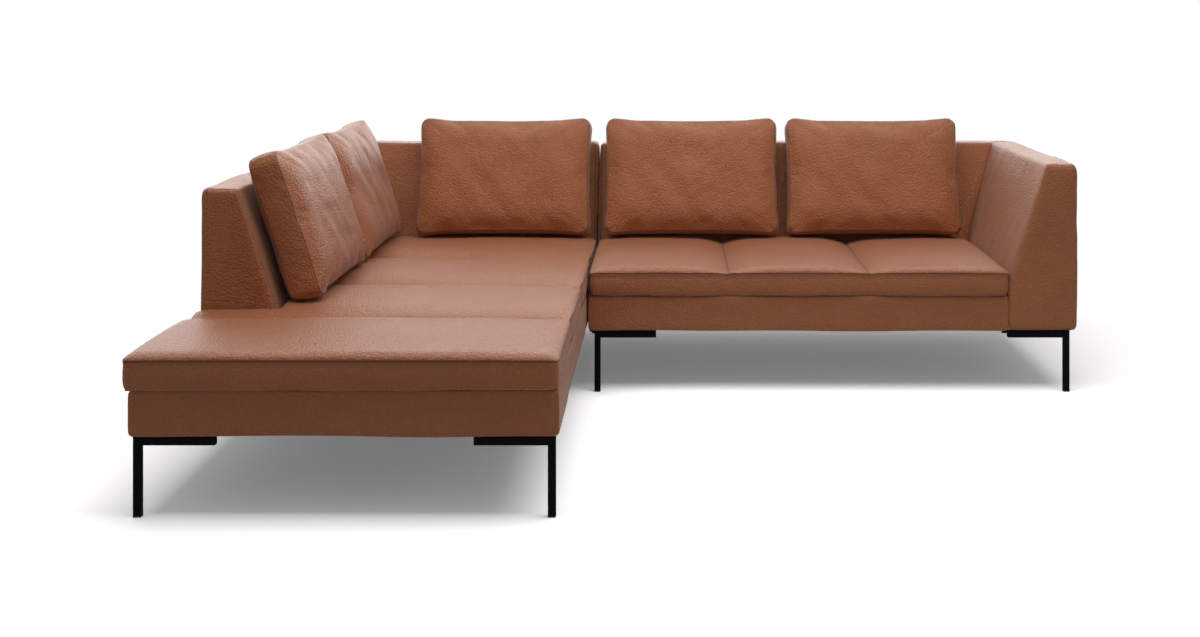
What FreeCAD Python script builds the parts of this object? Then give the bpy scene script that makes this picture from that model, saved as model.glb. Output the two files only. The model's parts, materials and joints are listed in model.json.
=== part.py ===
import FreeCAD, Part
import Sketcher
import math
import os
from FreeCAD import Placement, Rotation, Vector

# Corner sofa of two modules in one leather: a chaise whose seat runs to the front on the left, and a sofa
# module with one arm on the right. Both have timber bases on L-shaped steel legs, wedge-shaped backs, a
# channelled seat pad, and loose box-bordered back cushions.
# Frame: X to the right, Y to the rear, Z up, origin on the floor under the middle of the outline.

doc = FreeCAD.newDocument("corner_sofa")
sheet = doc.addObject("Spreadsheet::Sheet", "Sizes")

# Driving sizes, in millimetres, degrees and counts
driving = {
    "overall_width": 2738, "overall_depth": 2218, "back_height": 761, "module_gap": 5,
    "chaise_width": 1081, "chaise_open_length": 570, "sofa_depth": 958,
    "leg_height": 206, "dust_cover": 1.5, "rail_height": 112.5, "strap_thickness": 1,
    "pad_side": 75, "pad_crown": 30, "side_overhang": 13, "front_overhang": 18, "sofa_overhang": 13,
    "wedge_seat": 235, "back_lean": 18, "back_tuck": 3, "arm_tuck": 9, "edge_round": 28,
    "apron": 12, "apron_round": 5, "top_padding": 20, "face_padding": 30,
    "fit": 0.3, "mitre_seam": 0.4,
    "rail": 28, "cross_drop": 20, "block_length": 236, "block_width": 56, "block_height": 58,
    "strap_width": 60, "strap_pitch": 120,
    "tube": 20, "tube_wall": 2, "tube_edge": 1.2, "bar_length": 206, "plate": 5, "plate_width": 60,
    "chaise_leg_inset": 10, "sofa_leg_inset": 21, "leg_setback": 12, "sofa_plate_lip": 17,
    "glide": 4, "glide_peg": 14,
    "bolt_radius": 5, "bolt_play": 0.25, "bolt_head": 8, "head_height": 5, "bolt_length": 150,
    "bolt_count": 2, "bolt_end": 160,
    "frame_rib": 30, "frame_bay": 190, "frame_panel": 18, "frame_edge": 40,
    "link_length": 70, "link_width": 40, "link_thickness": 4, "pin_radius": 6, "pin_length": 14,
    "pin_play": 0.5, "link_front_inset": 180, "link_rear_inset": 180,
    "chaise_section": 500, "sofa_sections": 3, "shoulder": 62, "shoulder_rise": 0.8, "groove_lift": 7,
    "pad_reach": 2, "pad_shy": 4, "side_draw": 8, "band_bulge": 5, "corner_round": 22, "core_wall": 22, "core_top": 12,
    "cushion_height": 450, "gusset": 92, "front_bulge": 38, "back_bulge": 26,
    "cushion_shoulder": 105, "cushion_rise": 0.78, "cushion_draw": 9, "cushion_round": 22,
    "cushion_core_wall": 52, "cushion_core_thickness": 70,
    "side_cushion_start": 42, "side_cushion_gap": 5, "side_cushion_end": 273,
    "rear_cushion_start": 22, "rear_cushion_end": 23,
    "sofa_cushion_start": 28, "sofa_cushion_gap": 34, "sofa_cushion_end": 32,
}
# Levels and planes that follow from them
derived = {
    "base_bottom": "leg_height",
    "rail_bottom": "leg_height + dust_cover",
    "base_top": "rail_bottom + rail_height",
    "pad_bottom": "base_top + 2 * strap_thickness + fit",
    "seam_level": "pad_bottom - fit + pad_side",
    "seat_top": "seam_level + pad_crown",
    "front_y": "-overall_depth / 2 + front_overhang",
    "rear_y": "overall_depth / 2",
    "chaise_left": "-overall_width / 2 + side_overhang",
    "chaise_right": "chaise_left + chaise_width",
    "sofa_left": "chaise_right + module_gap",
    "sofa_right": "overall_width / 2",
    "sofa_front": "rear_y - sofa_depth",
    "side_back_front": "front_y + chaise_open_length",
    "seat_rear": "rear_y - wedge_seat",
    "side_back_inner": "chaise_left + wedge_seat",
    "arm_inner": "sofa_right - wedge_seat",
    "wedge_top": "wedge_seat - (back_height - seam_level) * tan(back_lean)",
    "cx0": "chaise_left + apron + back_tuck", "cx1": "chaise_right - apron",
    "cy0": "front_y + apron", "cy1": "rear_y - apron - back_tuck",
    "sx0": "sofa_left + apron", "sx1": "sofa_right - apron - arm_tuck",
    "sy0": "sofa_front + apron", "sy1": "rear_y - apron - back_tuck",
    "cushion_back": "gusset / 2 + back_bulge",
    "cushion_front": "gusset / 2 + front_bulge",
    "cushion_level": "seat_top + fit",
    "cushion_set": "wedge_seat - (cushion_level - seam_level) * tan(back_lean)"
                   " + (cushion_back + fit) / cos(back_lean)",
    "cushion_reach": "cushion_set + cushion_front * cos(back_lean)",
    "side_cushion_width": "(rear_y - side_back_front - side_cushion_start - side_cushion_gap - side_cushion_end) / 2",
    "rear_cushion_width": "chaise_width - cushion_reach - rear_cushion_start - rear_cushion_end",
    "sofa_cushion_width": "(arm_inner - sofa_left - sofa_cushion_start - sofa_cushion_gap - sofa_cushion_end) / 2",
}

for row, (alias, value) in enumerate(list(driving.items()) + list(derived.items()), start=1):
    cell = "A%d" % row
    sheet.set(cell, "=" + value if isinstance(value, str) else str(value))
    sheet.setAlias(cell, alias)
doc.recompute()

nodes = []


def tied(words):
    """The expression with each size's name pointing at the sheet."""
    out, word = [], ""
    for letter in words + " ":
        if letter.isalnum() or letter == "_":
            word += letter
            continue
        out.append("Sizes." + word if word in driving or word in derived else word)
        out.append(letter)
        word = ""
    return "".join(out).strip()


def size(words):
    """The number that an expression of sizes gives now."""
    return float(sheet.evalExpression(tied(words)))


def bind(obj, prop, words):
    obj.setExpression(prop, tied(words))


def place(obj, x="0", y="0", z="0", turn=None):
    """Puts an object at a point given by expressions, turned if asked."""
    obj.Placement = Placement(Vector(size(x), size(y), size(z)), turn or Rotation())
    for axis, words in zip("xyz", (x, y, z)):
        bind(obj, "Placement.Base." + axis, words)


def node(obj, label):
    obj.Label = label
    nodes.append(obj)
    return obj


def box(label, low, high):
    """A box between two corners, each corner three expressions."""
    obj = doc.addObject("Part::Box", label)
    for prop, a, b in zip(("Length", "Width", "Height"), low, high):
        bind(obj, prop, "(%s) - (%s)" % (b, a))
    place(obj, *low)
    return obj


def cylinder(label, radius, length, x, y, z, turn=None):
    obj = doc.addObject("Part::Cylinder", label)
    bind(obj, "Radius", radius)
    bind(obj, "Height", length)
    place(obj, x, y, z, turn)
    return obj


def group(label, members):
    """Separate solids that share one node."""
    obj = doc.addObject("Part::Compound", label)
    obj.Links = members
    return obj


def cut(label, base, tools):
    obj = doc.addObject("Part::Cut", label)
    obj.Base = base
    obj.Tool = tools[0] if len(tools) == 1 else group(label + "_tools", tools)
    return obj


def fuse(label, first, second):
    obj = doc.addObject("Part::Fuse", label)
    obj.Base = first
    obj.Tool = second
    return obj


def plane(body, role):
    return [f for f in body.Origin.OriginFeatures if f.Role == role][0]


def sketch(body, name, role, points, arc_mids=None, lift="0"):
    """A closed outline whose corners are tied to the sheet. arc_mids gives a side's point where it is an arc."""
    sk = body.newObject("Sketcher::SketchObject", name)
    sk.AttachmentSupport = (plane(body, role), "")
    sk.MapMode = "FlatFace"
    sk.AttachmentOffset = Placement(Vector(0, 0, size(lift)), Rotation())
    bind(sk, "AttachmentOffset.Base.z", lift)
    arc_mids = arc_mids or {}
    spots = [Vector(size(x), size(y), 0) for x, y in points]

    def pin_point(geometry, end, words, value):
        for kind, expression, number in (("DistanceX", words[0], value.x), ("DistanceY", words[1], value.y)):
            n = sk.addConstraint(Sketcher.Constraint(kind, -1, 1, geometry, end, number))
            bind(sk, "Constraints[%d]" % n, expression)

    sides = []
    for i, p in enumerate(spots):
        q = spots[(i + 1) % len(spots)]
        if i in arc_mids:
            mid = Vector(size(arc_mids[i][0]), size(arc_mids[i][1]), 0)
            g = sk.addGeometry(Part.Arc(p, mid, q), False)
            forward = sk.getPoint(g, 1).distanceToPoint(p) < 1e-6
            sides.append((g, 1, 2) if forward else (g, 2, 1))
            on_arc = sk.addGeometry(Part.Point(mid), True)
            sk.addConstraint(Sketcher.Constraint("PointOnObject", on_arc, 1, g))
            pin_point(on_arc, 1, arc_mids[i], mid)
        else:
            sides.append((sk.addGeometry(Part.LineSegment(p, q), False), 1, 2))
    for i, (g, _, end) in enumerate(sides):
        following, start, _ = sides[(i + 1) % len(sides)]
        sk.addConstraint(Sketcher.Constraint("Coincident", g, end, following, start))
    for (g, start, _), words, spot in zip(sides, points, spots):
        pin_point(g, start, words, spot)
    return sk


def pad_up(body, name, profile, length, reverse=False):
    feature = body.newObject("PartDesign::Pad", name)
    feature.Profile = profile
    feature.Reversed = reverse
    bind(feature, "Length", length)
    doc.recompute()
    return feature


def pocket(body, name, profile, length, reverse=False):
    feature = body.newObject("PartDesign::Pocket", name)
    before = body.Shape.Volume
    feature.Profile = profile
    feature.Reversed = reverse
    bind(feature, "Length", length)
    doc.recompute()
    if body.Shape.Volume > before - 1:
        raise RuntimeError(name + " cuts nothing")
    return feature


def edges_of(base, wanted):
    """The names of the edges of a feature that a test picks out."""
    return ["Edge%d" % (i + 1) for i, e in enumerate(base.Shape.Edges) if wanted(e)]


def rounded(body, name, base, radius, wanted):
    feature = body.newObject("PartDesign::Fillet", name)
    feature.Base = (base, edges_of(base, wanted))
    bind(feature, "Radius", radius)
    doc.recompute()


def eased(body, name, base, edge, wanted):
    feature = body.newObject("PartDesign::Chamfer", name)
    feature.Base = (base, edges_of(base, wanted))
    bind(feature, "Size", edge)
    doc.recompute()


def near(a, b):
    return abs(a - b) < 0.01


def runs(edge, axis):
    """True for an edge that runs along an axis."""
    ends = [v.Point for v in edge.Vertexes]
    if len(ends) < 2:
        return False
    step = ends[1] - ends[0]
    return step.Length > 1 and abs(abs(step[axis]) - step.Length) < 1e-6


def shaped(label, shape):
    obj = doc.addObject("Part::Feature", label)
    obj.Shape = shape
    return obj


# Bases: rails, seat rails, corner blocks, webbing, dust covers and aprons
def bolt_spots(start, end):
    """Positions of the back bolts along a run, tied to the sheet."""
    count = int(size("bolt_count"))
    return ["(%s) + bolt_end + ((%s) - (%s) - 2 * bolt_end) * %d / %d" % (start, end, start, i, count - 1)
            for i in range(count)]


def bolt_set(label, spots):
    """Hex-headed bolts pointing up, heads in the rails' undersides."""
    made = []
    for i, (x, y) in enumerate(spots):
        head = doc.addObject("Part::Prism", "%s_head_%d" % (label, i))
        head.Polygon = 6
        bind(head, "Circumradius", "bolt_head")
        bind(head, "Height", "head_height")
        place(head, x, y, "rail_bottom")
        shank = cylinder("%s_shank_%d" % (label, i), "bolt_radius", "bolt_length", x, y, "rail_bottom")
        made.append(fuse("%s_%d" % (label, i), head, shank))
    return group(label, made)


def bolt_holes(label, spots):
    """Clearance holes with a pocket for each head."""
    made = []
    for i, (x, y) in enumerate(spots):
        made.append(cylinder("%s_hole_%d" % (label, i), "bolt_radius + bolt_play", "bolt_length + bolt_play",
                             x, y, "rail_bottom"))
        made.append(cylinder("%s_head_pocket_%d" % (label, i), "bolt_head + bolt_play", "head_height + bolt_play",
                             x, y, "rail_bottom"))
    return made


def rail_box(label, x0, x1, y0, y1):
    return box(label, (x0, y0, "rail_bottom"), (x1, y1, "base_top"))


def base_rails(module, x0, x1, y0, y1, side, rear_spots, side_spots):
    """Four perimeter rails. The rear rail and the rail named side carry bolts up into the backs."""
    front = rail_box(module + "_front_rail", x0, x1, y0, y0 + " + rail")
    rear = rail_box(module + "_rear_rail_blank", x0, x1, y1 + " - rail", y1)
    rear = cut(module + "_rear_rail", rear, bolt_holes(module + "_rear", rear_spots))
    left = rail_box(module + "_left_blank", x0, x0 + " + rail", y0 + " + rail", y1 + " - rail")
    right = rail_box(module + "_right_blank", x1 + " - rail", x1, y0 + " + rail", y1 + " - rail")
    if side == "left":
        left = cut(module + "_left", left, bolt_holes(module + "_left", side_spots))
    else:
        right = cut(module + "_right", right, bolt_holes(module + "_right", side_spots))
    node(front, module + "_front_rail")
    node(rear, module + "_rear_rail")
    return left, right


def seat_rail(name, x0, x1, y0, y1, drop="0"):
    return box(name, (x0, y0, "rail_bottom"), (x1, y1, "base_top - " + drop))


chaise_rear_bolts = [(x, "cy1 - rail / 2") for x in bolt_spots("side_back_inner", "cx1")]
chaise_side_bolts = [("cx0 + rail / 2", y) for y in bolt_spots("side_back_front", "seat_rear")]
sofa_rear_bolts = [(x, "sy1 - rail / 2") for x in bolt_spots("sx0", "arm_inner")]
arm_bolts = [("sx1 - rail / 2", y) for y in bolt_spots("sofa_front", "seat_rear")]

outer_rail, inner_rail = base_rails("chaise", "cx0", "cx1", "cy0", "cy1", "left",
                                    chaise_rear_bolts, chaise_side_bolts)
node(outer_rail, "chaise_outer_rail")
node(inner_rail, "chaise_inner_rail")
left_rail, right_rail = base_rails("sofa", "sx0", "sx1", "sy0", "sy1", "right", sofa_rear_bolts, arm_bolts)
node(left_rail, "sofa_left_rail")
node(right_rail, "sofa_right_rail")

chaise_in = ("cx0 + rail", "cx1 - rail", "cy0 + rail", "cy1 - rail")
sofa_in = ("sx0 + rail", "sx1 - rail", "sy0 + rail", "sy1 - rail")
node(group("chaise_seat_rails", [
    seat_rail("chaise_step_rail", chaise_in[0], chaise_in[1], "side_back_front", "side_back_front + rail"),
    seat_rail("chaise_seat_rear_rail", chaise_in[0], chaise_in[1], "seat_rear", "seat_rear + rail"),
    seat_rail("chaise_seat_side_rail", "side_back_inner - rail", "side_back_inner",
              "side_back_front + rail", "seat_rear"),
    seat_rail("chaise_front_cross", chaise_in[0], chaise_in[1], "(cy0 + side_back_front) / 2",
              "(cy0 + side_back_front) / 2 + rail", "cross_drop"),
    seat_rail("chaise_mid_cross", "side_back_inner", chaise_in[1], "(side_back_front + seat_rear) / 2",
              "(side_back_front + seat_rear) / 2 + rail", "cross_drop"),
]), "chaise_seat_rails")
node(group("sofa_seat_rails", [
    seat_rail("sofa_seat_rear_rail", sofa_in[0], "arm_inner", "seat_rear", "seat_rear + rail"),
    seat_rail("sofa_seat_arm_rail", "arm_inner", "arm_inner + rail",
              sofa_in[2] + " + block_width", sofa_in[3] + " - block_width"),
] + [
    seat_rail("sofa_cross_%d" % i, "sx0 + (arm_inner - sx0) * %d / 3 - rail / 2" % i,
              "sx0 + (arm_inner - sx0) * %d / 3 + rail / 2" % i, sofa_in[2], "seat_rear", "cross_drop")
    for i in (1, 2)
]), "sofa_seat_rails")


# Legs of square tube: an upright, a bar under the base and a welded plate under rail and corner block
glides = []


def leg(label, hand, lip_out, lip_in, x, y, turned):
    """hand is 1 where the bar runs towards local +X from the upright, -1 where it runs the other way."""
    body = doc.addObject("PartDesign::Body", label + "_steel")
    h = "%d * " % hand
    top = "leg_height - plate"
    frame = sketch(body, label + "_outline", "XZ_Plane", [
        ("0", "glide"), (h + "tube", "glide"), (h + "tube", top + " - tube"),
        (h + "bar_length", top + " - tube"), (h + "bar_length", top), ("0", top)])
    tube = pad_up(body, label + "_tube", frame, "tube", True)
    length = min(size("bar_length"), size("leg_height")) / 2
    eased(body, label + "_eased", tube, "tube_edge", lambda e: e.Length > length and (runs(e, 0) or runs(e, 2)))
    plate = sketch(body, label + "_plate_outline", "XY_Plane", [
        (h + "-1 * (%s)" % lip_out, "0"), (h + "(bar_length + (%s))" % lip_in, "0"),
        (h + "(bar_length + (%s))" % lip_in, "plate_width"), (h + "-1 * (%s)" % lip_out, "plate_width")],
        lift=top)
    pad_up(body, label + "_plate", plate, "plate")
    end = sketch(body, label + "_bore_outline", "XY_Plane", [
        (h + "tube_wall", "tube_wall"), (h + "(tube - tube_wall)", "tube_wall"),
        (h + "(tube - tube_wall)", "tube - tube_wall"), (h + "tube_wall", "tube - tube_wall")], lift="glide")
    pocket(body, label + "_bore", end, "glide_peg + 6", True)
    place(body, x, y, "0", Rotation(Vector(0, 0, 1), 180 if turned else 0))
    node(body, label)
    glide_head = box(label + "_glide_head", ("0", "0", "0"), ("tube", "tube", "glide"))
    glide_peg = box(label + "_glide_peg", ("tube_wall + fit / 2", "tube_wall + fit / 2", "0"),
                    ("tube - tube_wall - fit / 2", "tube - tube_wall - fit / 2", "glide + glide_peg"))
    glide = fuse(label + "_glide", glide_head, glide_peg)
    sign = "-1 * " if turned else ""
    corner = "-1 * tube" if hand < 0 else "0"
    place(glide, "(%s) + %s(%s)" % (x, sign, corner), y, "0", Rotation(Vector(0, 0, 1), 180 if turned else 0))
    glides.append(glide)


for module, left, right, front, inset, lip, inner_box in (
        ("chaise", "chaise_left", "chaise_right", "front_y", "chaise_leg_inset", "0", chaise_in),
        ("sofa", "sofa_left", "sofa_right - arm_tuck", "sofa_front", "sofa_leg_inset", "sofa_plate_lip", sofa_in)):
    first_x, last_x = left + " + " + inset, right + " - " + inset
    first_y, last_y = front + " + leg_setback", "rear_y - back_tuck - leg_setback"
    leg(module + "_leg_front_left", 1, lip, "0", first_x, first_y, False)
    leg(module + "_leg_front_right", -1, "0", lip, last_x, first_y, False)
    leg(module + "_leg_rear_left", -1, lip, "0", first_x, last_y, True)
    leg(module + "_leg_rear_right", 1, "0", lip, last_x, last_y, True)
    node(group(module + "_glides", glides[-4:]), module + "_glides")

    # Corner blocks behind the rails, over the legs' plates
    x0, x1, y0, y1 = inner_box
    blocks = []
    for name, low_x, low_y in (("front_left", x0, y0), ("front_right", x1 + " - block_length", y0),
                               ("rear_left", x0, y1 + " - block_width"),
                               ("rear_right", x1 + " - block_length", y1 + " - block_width")):
        blocks.append(box("%s_block_%s" % (module, name), (low_x, low_y, "rail_bottom"),
                          (low_x + " + block_length", low_y + " + block_width", "rail_bottom + block_height")))
    node(group(module + "_corner_blocks", blocks), module + "_corner_blocks")
    node(box(module + "_dust_cover", (x0 + " - rail", y0 + " - rail", "base_bottom"),
             (x1 + " + rail", y1 + " + rail", "rail_bottom")), module + "_dust_cover")


# Webbing: cross straps on the rails, lengthwise straps on top of them
def straps(label, along_x, x0, x1, y0, y1, low):
    """Straps side by side over a field, their number following from the pitch."""
    a, b = (y0, y1) if along_x else (x0, x1)
    count = max(1, int((size(b) - size(a)) / size("strap_pitch")))
    made = []
    for i in range(count):
        centre = "(%s) + ((%s) - (%s)) * %d / %d" % (a, b, a, 2 * i + 1, 2 * count)
        edge0, edge1 = centre + " - strap_width / 2", centre + " + strap_width / 2"
        ends = (x0, x1, edge0, edge1) if along_x else (edge0, edge1, y0, y1)
        made.append(box("%s_%d" % (label, i), (ends[0], ends[2], low),
                        (ends[1], ends[3], low + " + strap_thickness")))
    return made


second = "base_top + strap_thickness"
node(group("chaise_webbing",
           straps("chaise_strap_front", True, "cx0", "cx1", "cy0", "side_back_front", "base_top")
           + straps("chaise_strap_rear", True, "side_back_inner", "cx1", "side_back_front", "seat_rear", "base_top")
           + straps("chaise_long_strap", False, "side_back_inner", "cx1", "cy0", "seat_rear", second)),
     "chaise_webbing")
node(group("sofa_webbing",
           straps("sofa_strap", True, "sx0", "arm_inner", "sy0", "seat_rear", "base_top")
           + straps("sofa_long_strap", False, "sx0", "arm_inner", "sy0", "seat_rear", second)),
     "sofa_webbing")


# Aprons: padded leather panels round the base, rounded along their long outer edges
def apron(label, low, high, outward, top):
    """outward is the axis and side that the panel faces, such as (1, -1) for the front."""
    body = doc.addObject("PartDesign::Body", label)
    width = "(%s) - (%s)" % (high[0], low[0])
    depth = "(%s) - (%s)" % (high[1], low[1])
    outline = sketch(body, label + "_outline", "XY_Plane",
                     [("0", "0"), (width, "0"), (width, depth), ("0", depth)])
    panel = pad_up(body, label + "_panel", outline, top + " - base_bottom")
    axis, side = outward
    face = size((width, depth)[axis]) if side > 0 else 0.0
    rounded(body, label + "_round", panel, "apron_round",
            lambda e: runs(e, 1 - axis) and near(e.CenterOfMass[axis], face))
    place(body, low[0], low[1], "base_bottom")
    node(body, label)


under_pad, under_back = "pad_bottom - fit", "base_top"
back_end = "rear_y - back_tuck - apron"
apron("chaise_front_apron", ("chaise_left", "front_y"), ("chaise_right", "cy0"), (1, -1), under_pad)
apron("chaise_inner_apron", ("cx1", "cy0"), ("chaise_right", back_end), (0, 1), under_back)
apron("chaise_outer_apron", ("chaise_left", "cy0"), ("cx0", "side_back_front - fit"), (0, -1), under_pad)
apron("sofa_front_apron", ("sofa_left", "sofa_front"), ("arm_inner", "sy0"), (1, -1), under_pad)
apron("sofa_left_apron", ("sofa_left", "sy0"), ("sx0", back_end), (0, -1), under_back)


# Backs and arm: a timber frame with bays, and a padded leather cover that hangs over the base
def wedge_cover(label, hand, run, tuck, to_floor, x, y, turn):
    """Cover with its mitred end at local y = 0 and its closed end at y = -run. hand 1 leans towards +X. The closed
    end reaches down over the base where to_floor is set, and otherwise stands on it."""
    h = "%d * " % hand
    body = doc.addObject("PartDesign::Body", label)
    outside = sketch(body, label + "_outside", "XZ_Plane", [
        (h + tuck, "base_bottom"), (h + tuck, "back_height"), (h + "wedge_top", "back_height"),
        (h + "wedge_seat", "seam_level"), (h + "wedge_seat", "base_bottom")],
        arc_mids={0: ("0", "(base_bottom + back_height) / 2")})
    solid = pad_up(body, label + "_solid", outside, run)
    far = -size(run)
    top = size("back_height")
    rounded(body, label + "_round", solid, "edge_round",
            lambda e: (near(e.CenterOfMass.y, far) and e.CenterOfMass.z > size("base_bottom") + 1)
            or (runs(e, 1) and near(e.CenterOfMass.z, top)))
    wall = "apron + " + tuck
    inner_top = "(wedge_top + top_padding * tan(back_lean) - face_padding)"
    inner_seat = "(wedge_seat - face_padding)"
    hollow = sketch(body, label + "_hollow_outline", "XZ_Plane", [
        (h + "(%s)" % wall, "base_bottom - 1"), (h + "(%s)" % wall, "back_height - top_padding"),
        (h + inner_top, "back_height - top_padding"), (h + inner_seat, "seam_level"),
        (h + inner_seat, "base_top"), (h + "(wedge_seat + 1)", "base_top"),
        (h + "(wedge_seat + 1)", "base_bottom - 1")])
    pocket(body, label + "_hollow", hollow, "(%s) - apron" % run, True)
    if not to_floor:
        under = sketch(body, label + "_under_outline", "XZ_Plane", [
            (h + "(%s)" % wall, "base_bottom - 1"), (h + "(%s)" % wall, "base_top"),
            (h + "(wedge_seat + 1)", "base_top"), (h + "(wedge_seat + 1)", "base_bottom - 1")])
        pocket(body, label + "_under", under, "(%s) + 1" % run, True)
    mitre(body, label, h, "mitre_seam / 2")
    place(body, x, y, "0", turn)
    node(body, label)


def mitre(body, label, h, back_off):
    """Cuts the end at local y = 0 to 45 degrees, longest along the outer face."""
    reach = "(wedge_seat + 40)"
    corner = sketch(body, label + "_mitre_outline", "XY_Plane", [
        (h + "-1", "1 - (%s) * sqrt(2)" % back_off),
        (h + reach, "-1 * %s - (%s) * sqrt(2)" % (reach, back_off)), (h + reach, "2"), (h + "-1", "2")])
    pocket(body, label + "_mitre", corner, "back_height + 1", True)


def wedge_frame(label, hand, run, tuck, bolts, x, y, turn):
    """Timber frame inside a cover: an outer panel, ribs, and top and bottom members, made as one glued piece."""
    h = "%d * " % hand
    body = doc.addObject("PartDesign::Body", label + "_timber")
    wall = "(apron + %s + fit)" % tuck
    inner_top = "(wedge_top + top_padding * tan(back_lean) - face_padding - 2 * fit)"
    inner_seat = "(wedge_seat - face_padding - fit)"
    outline = sketch(body, label + "_outline", "XZ_Plane", [
        (h + wall, "base_top"), (h + wall, "back_height - top_padding - fit"),
        (h + inner_top, "back_height - top_padding - fit"), (h + inner_seat, "seam_level"),
        (h + inner_seat, "base_top")])
    pad_up(body, label + "_block", outline, "(%s) - apron - fit" % run)
    mitre(body, label, h, "mitre_seam / 2 + fit")
    start = "(wedge_seat + frame_rib)"
    bay = sketch(body, label + "_bay_outline", "YZ_Plane", [
        ("-1 * %s" % start, "base_top + frame_edge"),
        ("-1 * %s - frame_bay" % start, "base_top + frame_edge"),
        ("-1 * %s - frame_bay" % start, "back_height - top_padding - frame_edge"),
        ("-1 * %s" % start, "back_height - top_padding - frame_edge")],
        lift=h + "(%s + frame_panel)" % wall)
    first = pocket(body, label + "_bay", bay, "wedge_seat", hand > 0)
    room = size("(%s) - apron - %s - frame_rib" % (run, start))
    count = max(1, int(room / size("frame_bay + frame_rib")))
    pattern = body.newObject("PartDesign::LinearPattern", label + "_bays")
    pattern.Originals = [first]
    pattern.Direction = (plane(body, "Y_Axis"), [""])
    pattern.Reversed = True
    bind(pattern, "Length", "(frame_bay + frame_rib) * %d" % (count - 1))
    pattern.Occurrences = count
    body.Tip = pattern
    doc.recompute()
    place(body, x, y, "0", turn)
    node(cut(label, body, bolt_holes(label, bolts)), label)


quarter = Rotation(Vector(0, 0, 1), 90)
minus_quarter = Rotation(Vector(0, 0, 1), -90)
still = Rotation()
for name, hand, run, tuck, to_floor, bolts, x, y, turn in (
        ("chaise_side_back", 1, "rear_y - side_back_front", "back_tuck", False, chaise_side_bolts,
         "chaise_left", "rear_y", still),
        ("chaise_rear_back", -1, "chaise_width", "back_tuck", False, chaise_rear_bolts,
         "chaise_left", "rear_y", quarter),
        ("sofa_rear_back", 1, "sofa_right - sofa_left", "back_tuck", False, sofa_rear_bolts,
         "sofa_right", "rear_y", minus_quarter),
        ("sofa_arm", -1, "sofa_depth", "arm_tuck", True, arm_bolts, "sofa_right", "rear_y", still)):
    wedge_cover(name + "_cover", hand, run, tuck, to_floor, x, y, turn)
    wedge_frame(name + "_frame", hand, run, tuck, bolts, x, y, turn)

node(bolt_set("chaise_back_bolts", chaise_rear_bolts + chaise_side_bolts), "chaise_back_bolts")
node(bolt_set("sofa_back_bolts", sofa_rear_bolts + arm_bolts), "sofa_back_bolts")

# Link plates under the chaise's inner side, and the pins of the sofa module that drop into them
link_spots = ["sofa_front + link_front_inset", "rear_y - link_rear_inset"]
plates, pins = [], []
for i, y in enumerate(link_spots):
    strip = box("link_strip_%d" % i, ("chaise_right - apron - link_length / 2", y + " - link_width / 2",
                                      "base_bottom - link_thickness"),
                ("chaise_right - apron + link_length", y + " + link_width / 2", "base_bottom"))
    eye = cylinder("link_eye_%d" % i, "pin_radius + pin_play", "link_thickness * 3",
                   "sx0 + rail / 2", y, "base_bottom - link_thickness * 2")
    relief = box("link_relief_%d" % i, ("chaise_right", y + " - link_width", "base_bottom - fit"),
                 ("chaise_right + 2 * link_length", y + " + link_width", "base_bottom + 1"))
    plates.append(cut("link_plate_%d" % i, strip, [eye, relief]))
    pins.append(cylinder("link_pin_%d" % i, "pin_radius", "pin_length", "sx0 + rail / 2", y,
                         "base_bottom - pin_length"))
node(group("chaise_link_plates", plates), "chaise_link_plates")
node(group("sofa_link_pins", pins), "sofa_link_pins")


# Seat pads: quilted leather over foam, crowned between sewn channels, with a side band under a seam
def crown(start, end, low_start, low_end, high):
    """Arcs over one section from seam or channel to the next, as (mid, end) steps of (run, height)."""
    reach, share = size("shoulder"), size("shoulder_rise")
    rise_start, rise_end = (high - low_start) * share, (high - low_end) * share
    return [((start + reach * 0.34, low_start + rise_start * 0.62), (start + reach, low_start + rise_start)),
            (((start + end) / 2, high), (end - reach, low_end + rise_end)),
            ((end - reach * 0.34, low_end + rise_end * 0.62), (end, low_end))]


def wire(start, steps):
    """A closed wire from steps (mid, end) for arcs and (None, end) for lines, all as vectors."""
    edges, at = [], start
    for mid, end in steps:
        if mid is None:
            edges.append(Part.LineSegment(at, end).toShape())
        else:
            edges.append(Part.Arc(at, mid, end).toShape())
        at = end
    if at.distanceToPoint(start) > 1e-6:
        edges.append(Part.LineSegment(at, start).toShape())
    return Part.Wire(edges)


def crowned_section(stations, lift, to_vector):
    """Closed section of a pad across its channels: bottom, slightly bulged side bands, and a crown to each span."""
    low, seam, high = size("pad_bottom"), size("seam_level"), size("seat_top") + lift
    groove, bulge = seam + size("groove_lift"), size("band_bulge")
    first, last = stations[0], stations[-1]
    marks = [first + bulge * 0.4] + stations[1:-1] + [last - bulge * 0.4]
    levels = [seam] + [groove] * (len(stations) - 2) + [seam]
    steps = [((first, (low + seam) / 2), (marks[0], seam))]
    for i in range(len(marks) - 1):
        steps += crown(marks[i], marks[i + 1], levels[i], levels[i + 1], high)
    steps.append(((last, (low + seam) / 2), (last - bulge, low)))
    return wire(to_vector(first + bulge, low), [(to_vector(*m), to_vector(*e)) for m, e in steps])


def prism(outline, direction):
    return Part.Face(outline).extrude(direction)


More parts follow.
